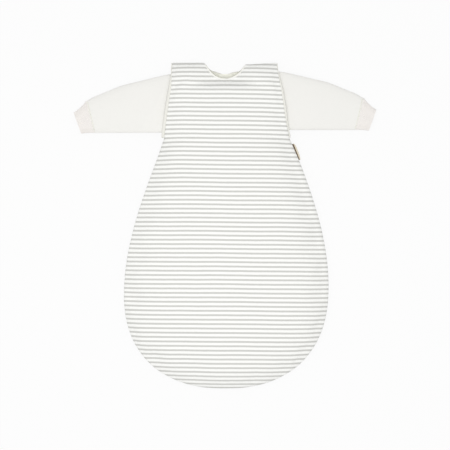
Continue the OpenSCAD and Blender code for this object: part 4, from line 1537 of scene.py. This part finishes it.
# ---- Inner bag ----
@dataclass
class InnerBag:
    """The thin inner bag: front with a placket and studs, back, and a bound neckline."""

    form: BagForm
    finishes: Finishes
    nodes: dict[str, bpy.types.Object]
    rows: tuple[int, int, int] = (30, 44, 50)
    sag: float = 2.0
    ripple: float = 0.35
    back_rise: float = 2.6
    rise_from: float = 29.0
    rise_to: float = 41.0
    placket_low: float = 402.0
    placket_half: float = 10.0
    edge_half_w: float = 1.3
    edge_half_t: float = 0.95

    def build(self) -> None:
        """Make the cloth and finish the studs."""
        front = [self.front_points(d) for d in (INNER_OUT, INNER_IN)]
        back = [self.back_points(d) for d in (INNER_IN, INNER_OUT)]
        fin, f = self.finishes, self.form
        pieces = ((slab("inner_bag_front", *front, fin.inner), "inner_front"),
                  (slab("inner_bag_back", *back, fin.inner), "inner_back"))
        for piece, node in pieces:
            settle(piece, "bag", "inner_jersey", node)
            declare_sheet(piece, (f.width + 60.0, f.length - 30.0))
        self.placket()
        self.neck_binding(front, back)
        for name in ("stud_caps", "stud_sockets"):
            dress(self.nodes[name], fin.stud)

    def front_points(self, depth: float) -> Array:
        """Grid of the inner front, which sinks in the middle to make room for the studs.

        Args:
            depth: Depth of the layer under the outer bag's outside.

        Returns:
            (rows, cols, 3) places, limp by random waves that fade towards the seam.
        """
        f, lay = self.form, Layer.inner(depth)
        corner = f.neck_w / f.shoulder_w
        half = join(corner * np.sin(np.linspace(0.0, pi / 2, 21)),
                    mix(corner, 1.0, np.sin(np.linspace(0.0, pi / 2, 31))))
        heights = f.heights(lay, *self.rows)
        shares = np.concatenate([-half[:0:-1], half])
        shares = np.broadcast_to(shares, (len(heights), len(shares)))
        x, s = f.grid(shares, heights, lay, f.inner_front_drop)
        free = smooth((1 - f.nearness(x, s, lay)) / 0.2)
        limp = self.ripple * (1 + waves(x, s, 21, 8, 45.0, 140.0)) * free
        return f.place(x, s, f.front_z(x, s, lay) - self.sink(x, s) - limp)

    def sink(self, x: Array, s: Array) -> Array:
        """How far the inner front sinks: fully within 10 mm of the middle, 0 past 40 mm."""
        return self.sag * (1 - smooth((np.abs(x) - 10.0) / 30.0)) * smooth(
            (s - self.placket_low + 90.0) / 60.0)

    def back_points(self, depth: float) -> Array:
        """Grid of the inner back, which rises over the zip's guard.

        Args:
            depth: Depth of the layer under the outer bag's outside.

        Returns:
            (rows, cols, 3) places.
        """
        f, lay = self.form, Layer.inner(depth)
        heights = f.heights(lay, *self.rows)
        w = f.half_width(heights, lay)[:, None]
        middle = join(np.linspace(0.0, self.rise_from, 12),
                      np.linspace(self.rise_from, self.rise_to, 9))
        sides = mix(self.rise_to, w, np.sin(np.linspace(0.0, pi / 2, 26)))[:, 1:]
        half = np.concatenate([np.broadcast_to(middle, (len(w), len(middle))), sides], axis=1)
        x = np.concatenate([-half[:, :0:-1], half], axis=1)
        x, s = f.grid(x / w, heights, lay, f.inner_back_drop)
        rise = self.back_rise * f.groove(x, s, self.rise_from, self.rise_to)
        return f.place(x, s, f.back_z(x, s, lay) + rise)

    def placket(self) -> None:
        """The doubled strip inside the front that the stud sockets are set in."""
        f, half = self.form, self.placket_half
        top = f.length - f.inner_front_drop - 2.0
        s, x = np.meshgrid(np.linspace(self.placket_low, top, 120), np.linspace(-half, half, 15),
                           indexing="ij")
        grids = [np.stack([x, s - f.length / 2,
                           f.front_z(0 * x, s, Layer.inner(d)) - self.sag], axis=-1)
                 for d in (INNER_IN + 0.8, INNER_IN + 1.6)]
        piece = slab("stud_placket", *grids, self.finishes.trim)
        settle(piece, "bag", "inner_trim", "inner_placket")

    def neck_binding(self, front: list[Array], back: list[Array]) -> None:
        """Bound edges of the inner neckline, front and back.

        Args:
            front, back: The two sides of each piece of cloth.
        """
        f = self.form
        for number, (name, grids) in enumerate((("inner_neck_edge_front", front),
                                                ("inner_neck_edge_back", back))):
            chosen = np.abs(grids[0][-1, :, 0]) < f.neck_w / 2 - 1.0
            path = ((grids[0][-1] + grids[1][-1]) / 2.0)[chosen]
            across = edge_normals(path, np.array([0.0, 1.0, 0.0]))
            piece = band(name, path + across * 0.8, across, self.edge_half_w, self.edge_half_t,
                         self.finishes.trim)
            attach(piece, "bag")
            if number == 0:
                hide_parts("inner_neck_binding")


# ---- Sleeves ----
@dataclass
class Sleeve:
    """One long sleeve from inside the armhole to the cuff, and its ribbed cuff."""

    side: Side
    form: BagForm
    finishes: Finishes
    joints: list[dict]
    low_s: float = 502.0
    high_s: float = 614.0
    reach: float = 258.0
    end_w: float = 69.0
    slant: float = radians(13.44)
    head_in: float = 14.5
    past_edge: float = 3.5
    z_at_arm: float = 15.5
    height_at_arm: float = 16.0
    height_at_cuff: float = 14.0
    lie: float = 0.5
    wall: float = 1.0
    cuff_len: float = 26.0
    cuff_w: float = 47.0
    cuff_slant: float = radians(21.0)
    cuff_low: float = 4.0
    cuff_wall: float = 2.0
    cuff_toe: float = 1.8
    ribs: int = 50
    rib_h: float = 0.32
    ridge_h: float = 0.6
    groove_h: float = 1.1
    stitch_at: float = 0.982
    rise_power: float = 1.5
    rings: int = 96
    sides: int = 112
    cuff_rings: int = 34
    cuff_sides: int = 400
    cloth_run: float = 130.0
    girth: float = 230.0
    cut_length: float = 190.0
    bend: tuple[float, float] = (-0.004, 0.026)

    def build(self) -> None:
        """Make the sleeve and the cuff."""
        self.tube()
        self.cuff()

    def fold_x(self, s: Array) -> Array:
        """x of the straight fold line just outside the armhole's binding."""
        ends = self.form.armhole(np.array([self.low_s, self.high_s])) + self.past_edge
        return mix(ends[0], ends[1], (s - self.low_s) / (self.high_s - self.low_s))

    def lift(self, t: Array, share: Array) -> Array:
        """How far up the bag the sleeve was laid; the left one lies higher than the right.

        Its upper edge also sags: by sin over the first part of its length, and by two eased steps
        towards the cuff.

        Args:
            t: Share of the sleeve's length.
            share: -1 on the lower edge to 1 on the upper edge.

        Returns:
            Millimetres up the bag.
        """
        upper = (share + 1.0) / 2
        sag = (2.4 * np.sin(pi * clamp(t / 0.58)) + 2.4 * smooth((t - 0.5) / 0.35)
               + 2.6 * smooth((t - 0.88) / 0.12))
        if self.side is Side.RIGHT:
            return 0.8 + (2.4 * (1.0 - t) ** 2 - sag) * upper
        return 6.0 + 0.6 * t + (2.2 * (1.0 - t) - sag) * upper

    def ring(self, t: Array, a: Array, depth: float) -> tuple[Array, Array, Array]:
        """A flattened ring of the sleeve.

        Its points go from its lower to its upper edge with cos(a), and its height is a
        superellipse: height / 2 * |sin(a)|^0.8.

        Args:
            t: Share of the sleeve's length, below 0 inside the bag.
            a: Angles round the ring.
            depth: Depth under the sleeve's outside.

        Returns:
            x, s and z of the points.
        """
        f = self.form
        past = np.maximum(t, 0.0)
        low_x = mix(self.fold_x(self.low_s), self.reach, past)
        high_x = mix(self.fold_x(self.high_s), self.reach + self.end_w * sin(self.slant), past)
        high_s = mix(self.high_s, self.low_s + self.end_w * cos(self.slant), past**self.rise_power)
        width = np.hypot(high_x - low_x, high_s - self.low_s)
        share = np.cos(a) * (1.0 - 2.0 * depth / width)
        x = mix(low_x, high_x, (share + 1) / 2)
        s = mix(self.low_s, high_s, (share + 1) / 2)
        head = f.armhole(s) - self.head_in
        x = np.where(t < 0.0, mix(self.fold_x(s), head, clamp(-t / 0.1)), x)
        height = mix(self.height_at_arm, self.height_at_cuff, past) / 2.0 - depth
        middle = mix(self.z_at_arm, self.lie + self.height_at_cuff / 2, smooth(past * 1.1))
        z = middle + height * np.sign(np.sin(a)) * np.abs(np.sin(a)) ** 0.8
        return x, s + self.lift(past, share), z

    def folds(self, t: Array, a: Array, x: Array, s: Array) -> Array:
        """Height of the sleeve's soft folds: slanting ones near the armhole and broad ones past it.

        Gathers exp(-(distance to the cuff / 9 mm)^2) high stand at its end.

        Args:
            t: Share of the sleeve's length.
            a: Angles round the sleeve.
            x, s: Places across and up the bag.

        Returns:
            Millimetres to add to the height.
        """
        top = smooth(np.abs(np.sin(a)) / 0.5)
        run = (x - 120.0) * 0.9 + (s - self.low_s) * 0.55
        near = np.exp(-(((x - 128.0) / 26.0) ** 2))
        slanting = near * (np.sin(run / 5.6) + 0.5 * np.sin(run / 3.3 + 1.0))
        broad = waves(x, s, 40 + self.side.value, 8, 30.0, 110.0)
        end = np.exp(-(((1.0 - t) * self.cloth_run / 9.0) ** 2))
        gather = end * np.sin(s / 1.55 + 0.6 * np.sin(s / 4.1))
        return top * (0.22 * slanting + 0.35 * broad + 0.3 * gather) * smooth((t + 0.1) / 0.08)

    def tube(self) -> None:
        """Make the sleeve as one piece, and its row of stitches."""
        word = self.side.word
        t = join(np.linspace(-0.1, 0.0, 10), np.linspace(0.0, 1.0, self.rings))[:, None]
        a = np.linspace(0.0, 2.0 * pi, self.sides, endpoint=False)[None, :]
        seam = self.groove_h * np.exp(-(((1.0 - t) * self.cloth_run / 1.8) ** 2))
        groove = seam * smooth(np.abs(np.sin(a)) / 0.5)
        rings = []
        for depth in (0.0, self.wall):
            x, s, z = self.ring(t, a, depth)
            z = z + (self.folds(t, a, x, s) - groove) * np.sign(np.sin(a))
            z = np.maximum(z, self.lie + depth)
            rings.append(mirrored(np.stack([x, s - self.form.length / 2, z], axis=-1), self.side))
        girth = np.broadcast_to(a / (2 * pi) * self.girth, rings[0].shape[:2])
        run = np.broadcast_to(t * 145.0, girth.shape)
        piece = hose(f"{word}_sleeve_jersey", *rings, self.finishes.inner,
                     np.stack([girth, run], axis=-1))
        joint = next(j for j in self.joints if j["name"] == f"{word}_sleeve_fold")
        turn, axis = np.array(joint["pos_m"]), joint["axis"]
        out = np.array([-axis[1], axis[0], 0.0])
        start, end = (tuple(turn + reach * out) for reach in self.bend)
        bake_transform(piece)
        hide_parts(f"{word}_sleeve_head", f"{word}_sleeve")
        declare_sheet(piece, (self.girth, self.cut_length))
        row = int(np.argmin(np.abs(t[:, 0] - self.stitch_at)))
        seen = np.abs(a[0] - pi / 2) < 1.25
        line = rings[0][row, seen] + np.array([0.0, 0.0, 0.12])
        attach(stitches(f"{word}_cuff_stitches", line, self.finishes.seam_thread, thick=0.42),
                f"{word}_sleeve")

    def cuff(self) -> None:
        """Make the ribbed cuff, drawn in from the sleeve's end.

        Its section is the sleeve's superellipse, with ribs rib_h * cos(50 a) high and a ridge
        exp(-(distance past the seam / 1.3 mm)^2) high along the seam.
        """
        seam_low = np.array([self.reach, self.low_s])
        seam_high = seam_low + self.end_w * np.array([sin(self.slant), cos(self.slant)])
        shift = self.cuff_len * np.array([cos(self.cuff_slant), -sin(self.cuff_slant)])
        share = (self.end_w / 2 - self.cuff_low) / self.end_w
        middle = mix(seam_low, seam_high, share) + shift
        arm = self.cuff_w / 2 * np.array([sin(self.cuff_slant), cos(self.cuff_slant)])
        t = np.linspace(-0.03, 1.0, self.cuff_rings)[:, None, None]
        a = np.linspace(0.0, 2.0 * pi, self.cuff_sides, endpoint=False)[None, :]
        low = mix(seam_low, middle - arm + np.array([self.cuff_toe, 0.0]), t)
        high = mix(seam_high, middle + arm, t)
        width = np.linalg.norm(high - low, axis=-1)
        past = clamp(t[..., 0])
        side, height, mid_z = np.sign(np.sin(a)), np.abs(np.sin(a)), self.height_at_cuff / 2
        ridge = self.ridge_h * np.exp(-(((t[..., 0] * self.cuff_len - 1.8) / 1.3) ** 2))
        grids = []
        for depth in (0.0, self.cuff_wall):
            share = np.cos(a) * (1.0 - 0.03 * np.sin(pi * past) ** 0.7 - 2.0 * depth / width)
            xy = (low + high) / 2 + (high - low) / 2 * share[..., None]
            body = (mid_z - depth) * side * height**0.8 * (1.0 - 0.12 * past)
            rib = self.rib_h * np.cos(a * self.ribs) if depth == 0.0 else 0.0
            z = self.lie + mid_z + body + (rib + ridge) * side * height**0.4
            drawn = 1.8 * np.sin(pi * past) ** 0.5 * ((share + 1) / 2) ** 2
            s = xy[..., 1] + self.lift(np.ones(1), share) - drawn + 1.6 * past * (share + 1)
            x = np.broadcast_to(xy[..., 0], z.shape)
            grids.append(mirrored(np.stack([x, s - self.form.length / 2, z], axis=-1), self.side))
        girth = np.broadcast_to(a / (2 * pi) * 110.0, grids[0].shape[:2])
        run = np.broadcast_to(t[..., 0] * self.cuff_len, girth.shape)
        piece = hose(f"{self.side.word}_cuff_rib", *grids, self.finishes.rib,
                     np.stack([girth, run], axis=-1))
        settle(piece, f"{self.side.word}_sleeve", "rib", f"{self.side.word}_cuff")


# ---- Side tag ----
@dataclass
class SideTag:
    """The folded ribbon in the left side seam."""

    form: BagForm
    finishes: Finishes
    up: float = 464.0
    length: float = 34.0
    root: float = 3.6
    width: float = 6.0
    half_t: float = 0.7
    ply: float = 0.22
    taper: float = 0.3
    bend: tuple[float, float] = (0.2, 2.2)

    def build(self) -> None:
        """Make the loop: two plies that meet in a rounded fold."""
        f = self.form
        slope = (f.flank(self.up + 5) - f.flank(self.up - 5)) / 10
        turn = np.arctan2(1.0, slope) - pi / 2
        t = np.linspace(0.0, 1.0, 60)
        reach = self.width * np.where(t < 0.5, t * 2, 2 - t * 2)
        bulge = self.half_t * np.sign(0.5 - t) * rim((self.width - reach) / 1.4)
        along = np.linspace(-self.length / 2, self.length / 2, 50)
        u, v = np.meshgrid(reach, along)
        u = u * (1.0 - self.taper * (2.0 * v / self.length) ** 4)
        lean = 0.6 * np.sin(v / 9.0 + 0.6) * smooth(u / 6.0)
        seam = np.array([f.flank(self.up) + self.root, self.up - f.length / 2, f.seam_up])
        out = np.array([cos(turn), sin(turn), 0.0])
        up = np.array([-sin(turn), cos(turn), 0.0])
        grids = []
        for thick in (self.ply, -self.ply):
            z = bulge + thick * np.where(t < 0.5, 1.0, -1.0) + lean
            flat = seam + (u + thick * 0.3)[..., None] * out + v[..., None] * up
            grids.append(flat + z[..., None] * np.array([0.0, 0.0, 1.0]))
        piece = slab("folded_side_tag", *grids, self.finishes.ribbon, np.stack([u, v], axis=-1))
        start, end = (tuple((seam + reach * out) * MM) for reach in self.bend)
        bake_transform(piece)
        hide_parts("side_tag")
        LOG.info("%s bends at the side seam", piece.name)


# ---- Studio ----
@dataclass(frozen=True)
class Studio:
    """Camera square-on over the front, a pale floor and plain soft light."""

    distance: float = 2.447
    lens: float = 100.0
    shift_y: float = 0.0016
    look_from: float = 0.02
    floor_size: float = 40.0
    floor_z: float = -0.0005
    floor_white: float = 0.9
    sky: float = 0.66
    lamp: float = 13.3
    lamp_size: float = 1.6
    lamp_at: tuple[float, float, float] = (-0.1, -0.08, 1.7)
    lamp_turn: tuple[float, float, float] = (0.04, -0.05, 0.0)

    def build(self) -> None:
        """Make all of it."""
        self.camera()
        self.floor()
        self.light()

    def camera(self) -> None:
        """Look straight down at the bag as it lies."""
        data = bpy.data.cameras.new("camera")
        data.lens, data.sensor_width = self.lens, 36.0
        camera = bpy.data.objects.new("camera", data)
        camera.location = (0.0, self.shift_y, self.look_from + self.distance)
        bpy.context.scene.collection.objects.link(camera)
        bpy.context.scene.camera = camera

    def seen_directly(self, sh: Shader) -> Sock:
        """Find the rays that show the white backdrop itself.

        Args:
            sh: The floor's shader.

        Returns:
            1 for rays from the camera and those off gloss and through glass.
        """
        path = {name: sh.make("ShaderNodeLightPath", None, None, name)
                for name in ("Is Camera Ray", "Is Glossy Ray", "Is Transmission Ray")}
        return sh.make("ShaderNodeMath", {"operation": "ADD", "use_clamp": True},
                       {0: path["Is Camera Ray"] + path["Is Glossy Ray"],
                        1: path["Is Transmission Ray"]})

    def floor(self) -> None:
        """A white floor that shows mostly white and keeps a soft share of the shadow."""
        sh = Shader("studio_floor")
        sh.set(Base_Color=(0.8, 0.8, 0.8, 1.0), Roughness=0.9)
        white = sh.nodes.new("ShaderNodeEmission")
        both = sh.nodes.new("ShaderNodeMixShader")
        sh.feed(both.inputs[0], self.seen_directly(sh) * self.floor_white)
        sh.links.new(sh.surface.outputs[0], both.inputs[1])
        sh.links.new(white.outputs[0], both.inputs[2])
        sh.links.new(both.outputs[0], sh.output.inputs["Surface"])
        half = self.floor_size / 2
        mesh = bpy.data.meshes.new("floor")
        corners = [(-half, -half), (half, -half), (half, half), (-half, half)]
        mesh.from_pydata([(x, y, self.floor_z) for x, y in corners], [], [(0, 1, 2, 3)])
        mesh.materials.append(sh.material)
        floor = bpy.data.objects.new("floor", mesh)
        bpy.context.scene.collection.objects.link(floor)

    def light(self) -> None:
        """An even white sky and one large soft lamp overhead."""
        world = bpy.data.worlds.new("studio")
        world.use_nodes = True
        bpy.context.scene.world = world
        nodes, links = world.node_tree.nodes, world.node_tree.links
        nodes.clear()
        out = nodes.new("ShaderNodeOutputWorld")
        sky, backdrop, both = (nodes.new(kind) for kind in (
            "ShaderNodeBackground", "ShaderNodeBackground", "ShaderNodeMixShader"))
        sky.inputs["Color"].default_value = (1.0, 1.0, 1.0, 1.0)
        sky.inputs["Strength"].default_value = self.sky
        backdrop.inputs["Color"].default_value = (1.0, 1.0, 1.0, 1.0)
        path = nodes.new("ShaderNodeLightPath")
        links.new(path.outputs["Is Camera Ray"], both.inputs[0])
        links.new(sky.outputs[0], both.inputs[1])
        links.new(backdrop.outputs[0], both.inputs[2])
        links.new(both.outputs[0], out.inputs["Surface"])
        lamp = bpy.data.lights.new("soft_lamp", "AREA")
        lamp.shape, lamp.size, lamp.energy = "DISK", self.lamp_size, self.lamp
        lit = bpy.data.objects.new("soft_lamp", lamp)
        lit.location, lit.rotation_euler = self.lamp_at, self.lamp_turn
        bpy.context.scene.collection.objects.link(lit)


def main() -> None:
    """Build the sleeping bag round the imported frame."""
    logging.basicConfig(level=logging.INFO, format="%(name)s: %(message)s")
    bpy.context.scene.view_settings.view_transform = "Standard"
    Studio().build()
    form, finishes = BagForm(), Finishes()
    OuterBag(form, finishes, Softness(form)).build()
    Zip(form, finishes, frame["nodes"]).build()
    InnerBag(form, finishes, frame["nodes"]).build()
    for side in Side:
        Sleeve(side, form, finishes, frame["joints"]).build()
    SideTag(form, finishes).build()


if __name__ == "__main__":
    main()
